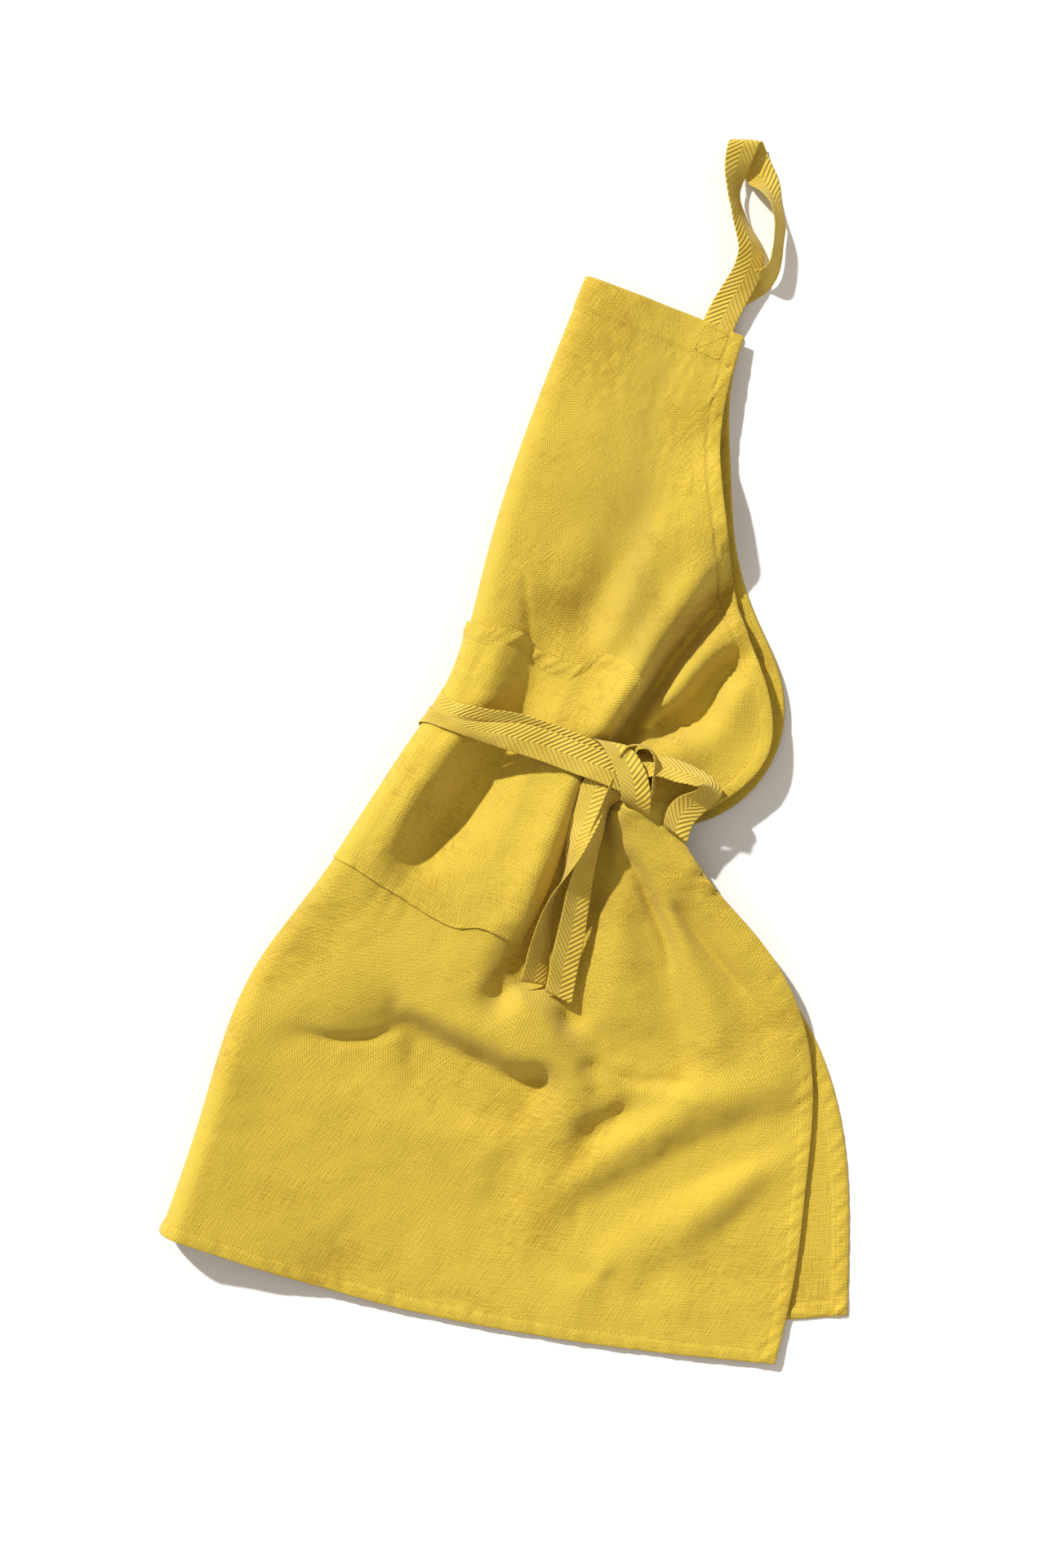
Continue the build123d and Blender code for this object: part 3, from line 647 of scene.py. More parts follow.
def thread_material(settings):
    """Spun sewing thread, dyed with the cloth: slightly smoother than the weave, twisted along its length."""
    material, tree = new_material("dyed_sewing_thread")
    place = node(tree, "ShaderNodeTexCoord").outputs["Object"]
    twist = node(tree, "ShaderNodeTexNoise", Vector=place, Scale=1400.0, Detail=2.0).outputs[0]
    finish_dyed(tree, settings, twist, (0.0, 1.0), twist, 0.4, 0.0001, Roughness=0.65)
    return material


def material_of(name, maker, settings):
    """The named material, made on first use."""
    return bpy.data.materials.get(name) or maker(settings)


# ---------------------------------------------------------------- the body panel
EDGE_STEPS = np.array([0.0, 0.5, 2.0, 4.5, 7.0, 9.5, 11.3, 12.2, 12.8, 13.6, 15.5, 18.5])
BIB_STEPS = np.array([0.0, 0.6, 3.0, 7.0, 12.0, 18.0, 24.0, 27.4, 28.8, 30.0, 31.2, 33.5, 37.0])
ROW_LENGTH = BODY_LENGTH + 4
MIDDLE_ROWS, UPPER_COLUMNS, LOWER_COLUMNS, LOOP_COLUMNS = 194, 116, 38, 12
HEM_LINE = EDGE_STEPS[-1] + 3.5  # where the close rows of the hem give way to the even ones
BIB_LINE = BIB_STEPS[-1] + 4


def panel_rows():
    """Shares of the cloth's length for the rows: close at both hems, and wider spaced about the waist."""
    inner = np.linspace(0, 1, MIDDLE_ROWS)
    weight = 1 + 0.7 * np.exp(-(((inner - 0.6) / 0.16) ** 2))
    run = np.concatenate([[0], np.cumsum(0.5 * (weight[1:] + weight[:-1]))])
    low, high = HEM_LINE / ROW_LENGTH, 1 - BIB_LINE / ROW_LENGTH
    middle = low + (high - low) * run / run[-1]
    return np.concatenate([EDGE_STEPS / ROW_LENGTH, middle, 1 - BIB_STEPS[::-1] / ROW_LENGTH])


LEAST_SQUARENESS = 0.45  # keeps the lines at the edge apart where a row meets the edge at a slant


def half_grid(t, shares, upper):
    """Plan points of one half from the loop to its open edge, with lines set along the hemmed edge."""
    t = t[:, None]
    start = plan_point(0.0 * t, t, upper)[:, 0]
    end = plan_point(0.0 * t + 1, t, upper)[:, 0]
    row = end - start
    width = np.linalg.norm(row, axis=1)
    tangent = np.gradient(end, axis=0)
    tangent /= np.linalg.norm(tangent, axis=1, keepdims=True)
    square = np.abs(row[:, 0] * tangent[:, 1] - row[:, 1] * tangent[:, 0]) / width
    square = np.maximum(square, LEAST_SQUARENESS)
    edge = 1 - EDGE_STEPS[::-1][None] / (width * square)[:, None]
    first = FOLD_RADIUS / width
    inner_end = edge[:, 0] - 4 / width
    inner = first[:, None] + (inner_end - first)[:, None] * shares[None]
    s = np.concatenate([inner, edge], axis=1)
    plan = plan_point(s, np.broadcast_to(t, s.shape), upper)
    from_edge = (1 - s) * (width * square)[:, None]
    return plan, from_edge


def panel_middle(t):
    """The middle of the whole folded cloth as a grid, with each point's distances from its edges."""
    upper_plan, upper_edge = half_grid(t, np.linspace(0, 1, UPPER_COLUMNS) ** 0.94, True)
    lower_plan, lower_edge = half_grid(t, np.linspace(0, 1, LOWER_COLUMNS), False)
    upper = np.dstack([upper_plan, upper_height(upper_plan[..., 0], upper_plan[..., 1])])
    lower = np.dstack([lower_plan, lower_height(lower_plan[..., 0], lower_plan[..., 1])])
    left = share_of(FOLD_LINE, t)
    loop = []
    for angle in np.radians(np.linspace(-90, 90, LOOP_COLUMNS + 2)[1:-1]):
        k = 0.5 + 0.5 * math.sin(angle)
        both = lower[:, 0] * (1 - k) + upper[:, 0] * k
        plan = left + (both[:, :2] - left) * (1 - math.cos(angle))
        loop.append(np.column_stack([plan, both[:, 2]]))
    loop = np.stack(loop, axis=1)
    grid = np.concatenate([lower[:, ::-1], loop, upper], axis=1)
    from_edge = np.concatenate([lower_edge[:, ::-1], np.full(loop.shape[:2], FAR), upper_edge], axis=1)
    return grid, from_edge


BAND_LIFT, BAND_PUFF = 0.9, 0.35  # a turned hem's step over the single cloth, and its soft middle
GROOVE_DEPTH, GROOVE_INSET, GROOVE_WIDTH = 1.2, 1.2, 1.3  # pulled in by the row of stitches
PUCKERS = ((9.0, 0.45), (14.0, 0.60), (23.0, 0.40))  # (wavelength, height) of the washed-in gathers
PUCKER_SLANT = 0.9


def seam_groove(from_edge, depth):
    """The groove that a row of stitches pulls in, just inside a hem of this depth."""
    return -GROOVE_DEPTH * np.exp(-(((from_edge - depth + GROOVE_INSET) / GROOVE_WIDTH) ** 2))


def seam_relief(from_edge, along_edge, depth, seed):
    """Lift of a stitched hem: a thicker band, a groove under the stitches and washed-in puckers."""
    rng = np.random.default_rng(seed)
    band = BAND_LIFT * (1 - ease((from_edge - depth + 0.4) / 1.2))
    puff = BAND_PUFF * np.sin(np.pi * np.clip(from_edge / depth, 0, 1))
    slant = along_edge + PUCKER_SLANT * from_edge
    pucker = np.zeros_like(from_edge)
    for wave, size in PUCKERS:
        shift = 0.35 * wave * np.sin(along_edge / (3.7 * wave) + rng.uniform(0, 6))
        pucker += size * np.sin(math.tau * (slant + shift) / wave + rng.uniform(0, 6))
    reach = np.exp(-(((from_edge - 0.55 * depth) / (0.60 * depth)) ** 2))
    return band + puff * (from_edge < depth) + seam_groove(from_edge, depth) + pucker * reach


HEM_TURN = 0.85  # how much thicker a turned hem is on the inner face


def inner_depth(from_edge, from_hem, from_bib, cloth):
    """How far the inner face lies below the middle: further where the hems are turned in."""
    side = np.where(from_hem < EDGE_WAIST_SHARE * ROW_LENGTH, from_edge, FAR)
    turned = 1 - ease((np.minimum(side, from_hem) - HEM) / 0.6)
    bib = 1 - ease((from_bib - BIB_HEM) / 0.8)
    return 0.5 * cloth + HEM_TURN * np.maximum(turned, bib)


BIB_BAND_LIFT = 0.8
EDGE_ROUND = 1.2  # how far in from an edge the cloth reaches its whole thickness
TABLE_CLEARANCE = 0.05


@functools.cache
def panel_surfaces(cloth):
    """Outer and inner face of the whole panel with the running lengths, in millimetres."""
    t = panel_rows()
    grid, from_edge = panel_middle(t)
    size = lengths_of(grid)
    from_hem = np.broadcast_to((t * ROW_LENGTH)[:, None], from_edge.shape)
    from_bib = np.broadcast_to(((1 - t) * ROW_LENGTH)[:, None], from_edge.shape)
    normal = normals_of(grid)
    lift = seam_relief(from_edge, size[..., 1], HEM, 31) + seam_relief(from_hem, size[..., 0], HEM, 32)
    bib_lift = BIB_BAND_LIFT * (1 - ease((from_bib - BIB_HEM + 0.5) / 1.4))
    lift = lift + bib_lift + seam_groove(from_bib, BIB_HEM)
    to_edge = np.minimum(from_edge, np.minimum(from_hem, from_bib))
    rounding = np.minimum(1, np.sqrt(to_edge / EDGE_ROUND + 0.02))
    outer = grid + normal * (0.5 * cloth + lift * rounding)[..., None]
    inner = grid - normal * (inner_depth(from_edge, from_hem, from_bib, cloth) * rounding)[..., None]
    rise = np.maximum(0, TABLE_CLEARANCE - np.minimum(outer[..., 2], inner[..., 2]))
    outer[..., 2] += rise
    inner[..., 2] += rise
    return outer, inner, size


class APRON_OT_body(bpy.types.Operator):
    """Builds the one cut of cloth that makes bib and skirt, folded round its centre"""
    bl_idname = "apron.body"
    bl_label = "Body panel"

    def execute(self, context):
        cloth = context.scene.apron_cloth
        outer, inner, size = panel_surfaces(cloth.thickness / MM)
        material = material_of("garment_dyed_cotton_linen", cloth_material, cloth)
        piece = shell("body_cloth", outer, inner, thread_lengths(size), material)
        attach(piece, "root")
        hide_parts("body_panel")
        return {"FINISHED"}


# ---------------------------------------------------------------- pocket
POCKET_EASE = 0.5  # between the pocket and the cloth it is sewn to
POCKET_SAG = 0.5  # how much further it stands off in its middle
POCKET_LOW, POCKET_HIGH = 331.0, 562.0
POCKET_UNDER_REACH = 155.0  # how far it goes in from the fold on the underside
POCKET_SEAM = 3.0
POCKET_LOOP_COLUMNS, POCKET_UNDER_COLUMNS = 14, 20
POCKET_FOOT_SHARES = (0.0, 0.0015, 0.008, 0.018)  # close rows where the pocket is sewn down
POCKET_BOTTOM = smooth_curve(
    [(-5, 338), (5, 337), (50, 330), (80, 325), (105, 322), (122, 324), (133, 330), (150, 332),
     (172, 331)], 200)
POCKET_MOUTH = smooth_curve(
    [(15, 543), (28, 545), (45, 553), (62, 562), (75, 561), (85, 557), (105, 556), (122, 558), (131, 570),
     (145, 576), (160, 575), (170, 568), (182, 561)], 200)
POCKET_SIDE = smooth_curve(
    [(171, 325), (173, 370), (171, 410), (169, 460), (169, 510), (173, 540), (181, 565)], 200)
MOUTH_STEPS = np.array([0.0, 0.5, 2.5, 5.5, 8.5, 11.0, 12.2, 13.4, 15.0, 18.0])


def pocket_plan(columns):
    """Plan grid of the pocket on the upper half, from the fold's loop to its sewn side edge."""
    rows = np.concatenate([POCKET_FOOT_SHARES, np.linspace(0.032, 0.90, 74)])
    plan = []
    for k in rows:
        y = POCKET_LOW + k * (POCKET_HIGH - POCKET_LOW)
        left = fold_x(y) + FOLD_RADIUS
        right = np.interp(y, POCKET_SIDE[:, 1], POCKET_SIDE[:, 0])
        x = left + (right - left) * columns
        low = np.interp(x, POCKET_BOTTOM[:, 0], POCKET_BOTTOM[:, 1])
        high = np.interp(x, POCKET_MOUTH[:, 0], POCKET_MOUTH[:, 1])
        plan.append(np.stack([x, low + (high - low) * k], -1))
    plan = np.array(plan)
    x = plan[-1, :, 0]
    high = np.interp(x, POCKET_MOUTH[:, 0], POCKET_MOUTH[:, 1])
    last = high - plan[-1, :, 1]
    mouth = [np.stack([x + 0.02 * (last - step), high - step], -1) for step in MOUTH_STEPS[::-1]]
    return np.concatenate([plan, mouth])


@functools.cache
def pocket_surfaces(cloth):
    """Outer and inner face of the pocket cloth, which lies on the outside of both halves round the fold."""
    upper_columns = np.concatenate([np.linspace(0, 0.93, 64), [0.95, 0.965, 0.98, 0.992, 1.0]])
    plan = pocket_plan(upper_columns)
    upper = np.dstack([plan, upper_height(plan[..., 0], plan[..., 1])])
    y0 = plan[:, 0, 1]
    angles = np.radians(np.linspace(-90, 90, POCKET_LOOP_COLUMNS + 1)[:-1])
    loop = np.stack([loop_point(angle, y0) for angle in angles], axis=1)
    reach = np.linspace(1, 0.04, POCKET_UNDER_COLUMNS)
    low_x = fold_x(y0)[:, None] + FOLD_RADIUS + (POCKET_UNDER_REACH - FOLD_RADIUS) * reach[None]
    low_y = np.broadcast_to(y0[:, None], low_x.shape)
    lower = np.dstack([low_x, low_y, lower_height(low_x, low_y)])
    grid = np.concatenate([lower, loop, upper], axis=1)
    normal = normals_of(grid)
    size = lengths_of(grid)
    from_mouth = size[-1:, :, 1] - size[..., 1]
    from_side = size[:, -1:, 0] - size[..., 0]
    from_bottom = size[..., 1]
    lift = seam_relief(from_mouth, size[..., 0], HEM, 41)
    lift += 0.6 * seam_relief(from_bottom, size[..., 0], POCKET_SEAM, 42)
    lift += 0.4 * seam_relief(from_side, size[..., 1], POCKET_SEAM, 43)
    gap = 0.5 * cloth + POCKET_EASE + POCKET_SAG * ease((np.minimum(from_bottom, from_side) - 4) / 30)
    mouth_hem = 0.32 * (1 - ease((from_mouth - HEM - 0.1) / 0.8))
    inner = grid + normal * gap[..., None]
    outer = grid + normal * (gap + cloth + np.maximum(lift, -0.25) + mouth_hem)[..., None]
    return outer, inner, size


class APRON_OT_pocket(bpy.types.Operator):
    """Builds the patch pocket that goes round the fold on the front of the skirt"""
    bl_idname = "apron.pocket"
    bl_label = "Pocket"

    def execute(self, context):
        cloth = context.scene.apron_cloth
        outer, inner, size = pocket_surfaces(cloth.thickness / MM)
        material = material_of("garment_dyed_cotton_linen", cloth_material, cloth)
        piece = shell("pocket_cloth", outer, inner, thread_lengths(size), material)
        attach(piece, "root")
        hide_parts("pocket_panel")
        return {"FINISHED"}


FACING_START = 0.585  # share of the cloth's length at which the armhole begins
FACING_GAP = 0.12
FACING_COLUMNS = 8  # of the panel's columns nearest to the edge


class APRON_OT_facings(bpy.types.Operator):
    """Builds the two strips that line the curved armhole edges"""
    bl_idname = "apron.facings"
    bl_label = "Armhole facings"

    def execute(self, context):
        cloth = context.scene.apron_cloth
        thickness = cloth.thickness / MM
        outer, inner, size = panel_surfaces(thickness)
        t = panel_rows()
        rows = np.nonzero((t > FACING_START) & (t < 1 - BIB_HEM / ROW_LENGTH))[0]
        material = material_of("garment_dyed_cotton_linen", cloth_material, cloth)
        last = outer.shape[1] - 1
        halves = (
            ("upper", np.arange(last - FACING_COLUMNS, last)),
            ("lower", np.arange(FACING_COLUMNS, 0, -1)),
        )
        for half, columns in halves:
            strip = np.ix_(rows, columns)
            inward = inner[strip] - outer[strip]
            inward /= np.linalg.norm(inward, axis=-1, keepdims=True)
            near = inner[strip] + inward * FACING_GAP
            far = inner[strip] + inward * (FACING_GAP + thickness)
            piece = shell(f"armhole_facing_strip_{half}", near, far, size[strip], material)
            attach(piece, "root")
            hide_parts(f"armhole_facing_{half}")
        return {"FINISHED"}


# ---------------------------------------------------------------- tapes
ACROSS = np.array([0.0, 0.5, 2.0, 5.0, 8.7, 12.5, 16.3, 20.0, 23.0, 24.5, 25.0]) / TAPE
TAPE_STEP = 2.2


def tape_grid(rows, full_width):
    """Middle of a tape through given rows: two edges, or an edge, the middle and the other edge."""
    edges = np.array([row[:3] + row[-3:] for row in rows], float)
    straight = 0.5 * (edges[:, :3] + edges[:, 3:])
    middle = np.array([row[3:6] if len(row) == 9 else point for row, point in zip(rows, straight)], float)
    count = round(line_length(middle) / TAPE_STEP)
    ends = smooth_curve(edges, count)
    run = running_length(straight)
    bulge = sampled(np.linspace(0, run[-1], count), run, middle - straight)
    k = ACROSS[None, :, None]
    a, b = ends[:, None, :3], ends[:, None, 3:]
    grid = a * (1 - k) + b * k + bulge[:, None] * (4 * k * (1 - k))
    if not full_width:
        return grid
    centre = grid.mean(axis=1, keepdims=True)
    width = np.linalg.norm(np.diff(grid, axis=1), axis=-1).sum(axis=1)
    return centre + (grid - centre) * (TAPE / width)[:, None, None]


CROWN = 0.35  # how much a tape's middle stands over its edges
SWAY_HEIGHT, SWAY_WAVES = 0.14, (17.0, 29.0, 53.0)  # slow unevenness along it
SELVEDGE = 0.45  # share of the thickness at the very edge
TAPE_SOFTNESS = 0.6  # how gradually it is lifted off the cloth
OVER_THE_CLOTH = 25.0  # height that only the part of a tape on top of the folded cloth reaches


def tape_piece(name, rows, settings, seed, full_width=True, clear_of_cloth=0):
    """A closed woven tape with rounded selvedges and a slight, uneven crown, and its length in metres."""
    grid = tape_grid(rows, full_width)
    normal = normals_of(grid)
    run = running_length(grid.mean(axis=1))
    rng = np.random.default_rng(seed)
    crown = CROWN * np.sin(np.pi * ACROSS)[None]
    for wave in SWAY_WAVES:
        sway = np.sin(math.tau * run / wave + rng.uniform(0, 6))[:, None]
        tilt = np.sin(np.pi * ACROSS * rng.integers(1, 3) + rng.uniform(0, 3))[None]
        crown = crown + SWAY_HEIGHT * sway * tilt
    from_edge = np.minimum(ACROSS, 1 - ACROSS) * TAPE
    rounding = np.minimum(1, SELVEDGE + (1 - SELVEDGE) * np.sqrt(from_edge))[None, :, None]
    half = 0.5 * settings.thickness / MM * rounding
    grid = grid + normal * crown[..., None]
    if clear_of_cloth:
        under = upper_height(grid[..., 0], grid[..., 1]) + clear_of_cloth
        over = (grid[..., 2] > OVER_THE_CLOTH) & (grid[..., 0] > fold_x(grid[..., 1]) + FOLD_RADIUS)
        grid[..., 2] = np.where(over, soft_floor(grid[..., 2], under, TAPE_SOFTNESS), grid[..., 2])
    uv = np.stack(np.broadcast_arrays(ACROSS[None] * TAPE, run[:, None]), -1)
    material = material_of("cotton_herringbone_tape", tape_material, settings)
    piece = shell(name, grid + normal * half, grid - normal * half, uv, material)
    return piece, run[-1] * MM


STRAP_LEFT, STRAP_RIGHT = 102.0, 127.0
STRAP_FOOT = 859.0
STRAP_SEWN_IN = (27.0, 18.0, 8.0)  # distances below its foot at which the sewn ends are set
STRAP_LOWER_END = 1.9  # height of the end in the lower hem
# Both edges of the free loop, from the strap's foot at the upper hem round to the one at the lower hem.
NECK_LOOP = [
    (0, 0, 9, 0, 0, 9), (0, 12, 10, 0, 12, 9.5), (2, 28, 14, 1, 29, 10), (4, 46, 19, 2, 49, 10.5),
    (1, 61, 22, -5, 68, 8), (-9, 75, 24, -20, 81, 6), (-20, 91, 25, -34, 93, 5.5), (-30, 105, 25, -41, 104, 6),
    (-37, 119, 23, -42, 119, 8), (-40, 131, 19, -42.5, 134, 10), (-39, 140, 12, -43, 148, 9),
    (-34, 137, 4, -38, 146, 3.5), (-24, 125, 2, -31, 139, 2), (-13, 116, 4, -22, 131, 1.6),
    (-2, 111, 16, -12, 119, 1.6), (10, 104, 22, -4, 107, 2), (19, 92, 24.5, 4, 94, 3),
    (25, 77, 25, 10, 76, 3.5),
    (28.5, 63, 25, 14.5, 59, 4), (28, 54, 22, 13.5, 46, 3), (20, 47, 9, 6, 36, 1.2), (8, 40, 4, 1, 24, 1.2),
    (0, 22, 3, -1, 12, 1.5), (-1, 8, 1.9, -1, 4, 1.9), (-1, 0, 1.9, -1, 0, 1.9),
]


def neck_rows():
    """The whole neck strap: its end inside the upper bib hem, the loop, and the end in the lower bib hem."""
    def level(depth, z, aside):
        y = STRAP_FOOT - depth
        return STRAP_LEFT - aside, y, z, STRAP_RIGHT - aside, y, z

    foot = np.array([STRAP_LEFT, STRAP_FOOT, 0, STRAP_RIGHT, STRAP_FOOT, 0])
    start = [level(d, upper_height(115.0, STRAP_FOOT - 3 - d) - 1.7, 0) for d in STRAP_SEWN_IN]
    loop = [tuple(foot + row) for row in NECK_LOOP]
    end = [level(d, STRAP_LOWER_END, 1) for d in STRAP_SEWN_IN[::-1]]
    return start + loop + end


class APRON_OT_neck_strap(bpy.types.Operator):
    """Builds the neck strap, one tape whose two ends are sewn inside the bib hem"""
    bl_idname = "apron.neck_strap"
    bl_label = "Neck strap"

    def execute(self, context):
        tape = context.scene.apron_tape
        piece, length = tape_piece("neck_strap_tape", neck_rows(), tape, 51)
        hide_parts("neck_strap", "neck_strap_end_upper", "neck_strap_end_lower")
        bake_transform(piece)
        return {"FINISHED"}


# Both edges of each strand on top of the cloth, from the knot to the fold.
UPPER_BAND = [
    (200, 505, 40.5, 200, 481, 40.5), (172, 507, 41, 172, 482, 41), (150, 506.5, 41.5, 150, 482, 40),
    (127, 505.5, 44, 125, 481.5, 39), (108, 503.5, 47, 105, 481, 38), (88, 500, 51, 85, 479, 38.5),
    (68, 494, 52, 66, 474, 39.5), (56, 491.5, 50, 55, 471.5, 41),
]
LOWER_BAND = [
    (203, 500, 44.5, 200, 477, 44), (180, 502, 45.5, 182, 477.5, 44.5), (152, 500.5, 45.5, 153, 475.5, 45),
    (127, 499.5, 45.5, 127, 474, 45.5), (105, 496.5, 46.5, 104, 483, 48, 103, 471.5, 46),
    (86, 490, 47, 85, 480, 50, 84, 469.5, 47), (68, 482.5, 48, 67, 475, 50.5, 66, 468, 48),
    (56, 479, 48, 55, 474, 49.5, 54, 467, 48),
]


UNDER_TAPE = 0.8  # height of the middle of a tape that lies under the cloth
FOLD_ANGLES = (72, 50, 25, 0, -25, -50, -72)


def round_the_fold(high, low, lift):
    """Rows of a tape that goes round the fold; high and low are its edges' Y on top and underneath."""
    rows = []
    for angle in FOLD_ANGLES:
        share = (FOLD_ANGLES[0] - angle) / (2 * FOLD_ANGLES[0])
        pair = []
        for on_top, under in (high, low):
            y = on_top + (under - on_top) * ease(share)
            turn = math.radians(angle)
            point = loop_point(np.array(turn), np.array(y))
            pair.extend(point + lift * np.array([-math.cos(turn), 0, math.sin(turn)]))
        rows.append(tuple(pair))
    return rows


def under_rows(high, low):
    """Rows of the same tape on the table, as far as the open side."""
    return [(x, high, UNDER_TAPE, x, low, UNDER_TAPE) for x in (62, 100, 160, 238)]


class APRON_OT_waist_ties(bpy.types.Operator):
    """Builds the two strands of waist tie that go round the fold, from the knot to the open side"""
    bl_idname = "apron.waist_ties"
    bl_label = "Waist ties"

    def execute(self, context):
        tape = context.scene.apron_tape
        upper = UPPER_BAND + round_the_fold((489.5, 503), (469, 479), 2.4) + under_rows(506, 481)
        lower = LOWER_BAND + round_the_fold((476, 480), (466, 458), 3.8) + under_rows(480, 455)
        for half, rows, seed, clear in (("upper", upper, 61, 3.2), ("lower", lower, 62, 4.6)):
            piece, length = tape_piece(
                f"waist_tie_band_{half}", rows, tape, seed, full_width=False, clear_of_cloth=clear)
            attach(piece, "root")
            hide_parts(f"waist_tie_{half}")
        return {"FINISHED"}


KNOT_WRAP = [
    (170, 498, 37, 194, 503, 37), (161, 505, 39, 184, 510, 40), (158, 508, 43.5, 182, 513, 44.5),
    (163, 506.5, 48, 187, 512.5, 49), (172, 500.5, 50.5, 197, 508.5, 51.5), (182, 491, 52, 208, 500, 52.5),
    (191, 481, 51, 216.5, 488, 51), (197, 474, 47.5, 221, 476, 46.5), (199, 471.5, 41, 222, 470, 39),
    (196, 475, 35, 219, 474, 34), (190, 484, 33, 212, 486, 32),
]
KNOT_LOOP = [
    (178, 503, 33, 181, 503, 49), (182, 510, 31, 184, 511, 50), (190, 517, 30, 190, 516, 51),
    (200, 519.5, 30, 200, 518, 52), (208, 516, 31, 206.5, 514.5, 52), (213.5, 506, 31, 211.5, 505, 51),
    (217.5, 495, 31, 215, 494.5, 49.5), (220, 486, 30, 217.5, 486, 47), (218, 478, 30, 215, 478, 44),
]
CORNER_LOOP = [
    (192, 505, 38, 196, 488, 45), (207, 513, 36, 213, 502.5, 48), (225, 519, 34.5, 229, 503, 50.5),
    (243, 519.5, 34, 243, 506, 51.5), (256, 517, 35, 250, 508, 51.5), (264.5, 513, 38, 252.5, 508.5, 51.5),
    (267, 508, 39, 252.5, 504.5, 48), (264.5, 501, 37, 249, 500, 45), (261.5, 493, 35.5, 244, 495, 42),
    (259.5, 485, 34.5, 239, 490, 39.5), (258, 477, 33.5, 236, 482, 37), (257, 469, 32, 238, 473, 35),
    (255.5, 463, 30.5, 243, 466, 33),
]


class APRON_OT_knot(bpy.types.Operator):
    """Builds the knot: the wrap over the top, the loop behind it and the loop out to the side corner"""
    bl_idname = "apron.knot"
    bl_label = "Knot"

    def execute(self, context):
        tape = context.scene.apron_tape
        pieces = (
            ("knot_wrap", KNOT_WRAP, 71, ["tie_knot"], "waist_tie_band_lower"),
            ("knot_inner_loop", KNOT_LOOP, 72, [], "knot_wrap"),
            ("side_corner_loop", CORNER_LOOP, 73, ["tie_corner_loop"], "body_cloth"),
        )
        for name, rows, seed, nodes, support in pieces:
            piece, length = tape_piece(name, rows, tape, seed)
            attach(piece, "root")
            if nodes:
                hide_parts(*nodes)
        return {"FINISHED"}


FRONT_TAIL = [
    (190, 490, 42, 207, 484, 38), (186, 474, 43.5, 192, 468, 30), (185.5, 455, 44, 193.5, 450, 25),
    (185.5, 430, 42.5, 198, 427, 23.5), (186, 400, 38.5, 205, 398, 23), (190, 378, 33.5, 211, 376, 22),
    (195, 355, 28, 217, 354, 20), (199.5, 333, 24, 221.5, 331, 17.5), (204, 316, 20.5, 226, 313, 15),
    (207, 305, 18, 227, 304, 14),
]
BACK_TAIL = [
    (174, 492, 39, 194, 490, 41), (167.5, 476, 39, 185, 475, 42), (169, 455, 36.5, 185.2, 453, 42),
    (172, 430, 31.5, 185, 429, 43), (177, 410, 24, 184.2, 409, 42.5), (180.5, 397, 19.5, 182.2, 397, 42.5),
    (181.5, 384, 16, 179, 384, 39.5), (184, 369, 13.5, 177, 370, 35.5), (190, 352, 12, 177.5, 352, 32),
    (195, 336, 11.5, 179.5, 335, 28), (200, 320, 11, 182.5, 318, 24), (203, 309, 10.5, 184.5, 305, 21.5),
]


class APRON_OT_tails(bpy.types.Operator):
    """Builds the two loose ends of the ties, below the knot"""
    bl_idname = "apron.tails"
    bl_label = "Tie tails"

    def execute(self, context):
        tape = context.scene.apron_tape
        for name, rows, seed in (("front", FRONT_TAIL, 81), ("back", BACK_TAIL, 82)):
            piece, length = tape_piece(f"tie_{name}_end", rows, tape, seed)
            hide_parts(f"tie_tail_{name}")
            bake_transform(piece)
        return {"FINISHED"}


# ---------------------------------------------------------------- stitches
STITCH_PITCH = 3.4
STITCH_LENGTH = 2.5
STITCH_LOOK = 0.6  # how far ahead and behind a stitch takes its direction
STITCH_LEAST_HEIGHT = 0.6  # keeps the stitches of the underside off the table
STITCH_ARCH, STITCH_OFF_CLOTH = 0.28, 0.05
THREAD = 0.55  # thicker than real thread, so that it shows


def stitch_seats(path, up):
    """Even places along a path with their direction and the cloth's own up."""
    run = running_length(path)
    where = np.arange(STITCH_PITCH / 2, run[-1], STITCH_PITCH)
    heading = sampled(where + STITCH_LOOK, run, path) - sampled(where - STITCH_LOOK, run, path)
    heading /= np.linalg.norm(heading, axis=1, keepdims=True)
    lift = sampled(where, run, up)
    lift -= (lift * heading).sum(axis=1, keepdims=True) * heading
    return sampled(where, run, path), heading, lift / np.linalg.norm(lift, axis=1, keepdims=True)


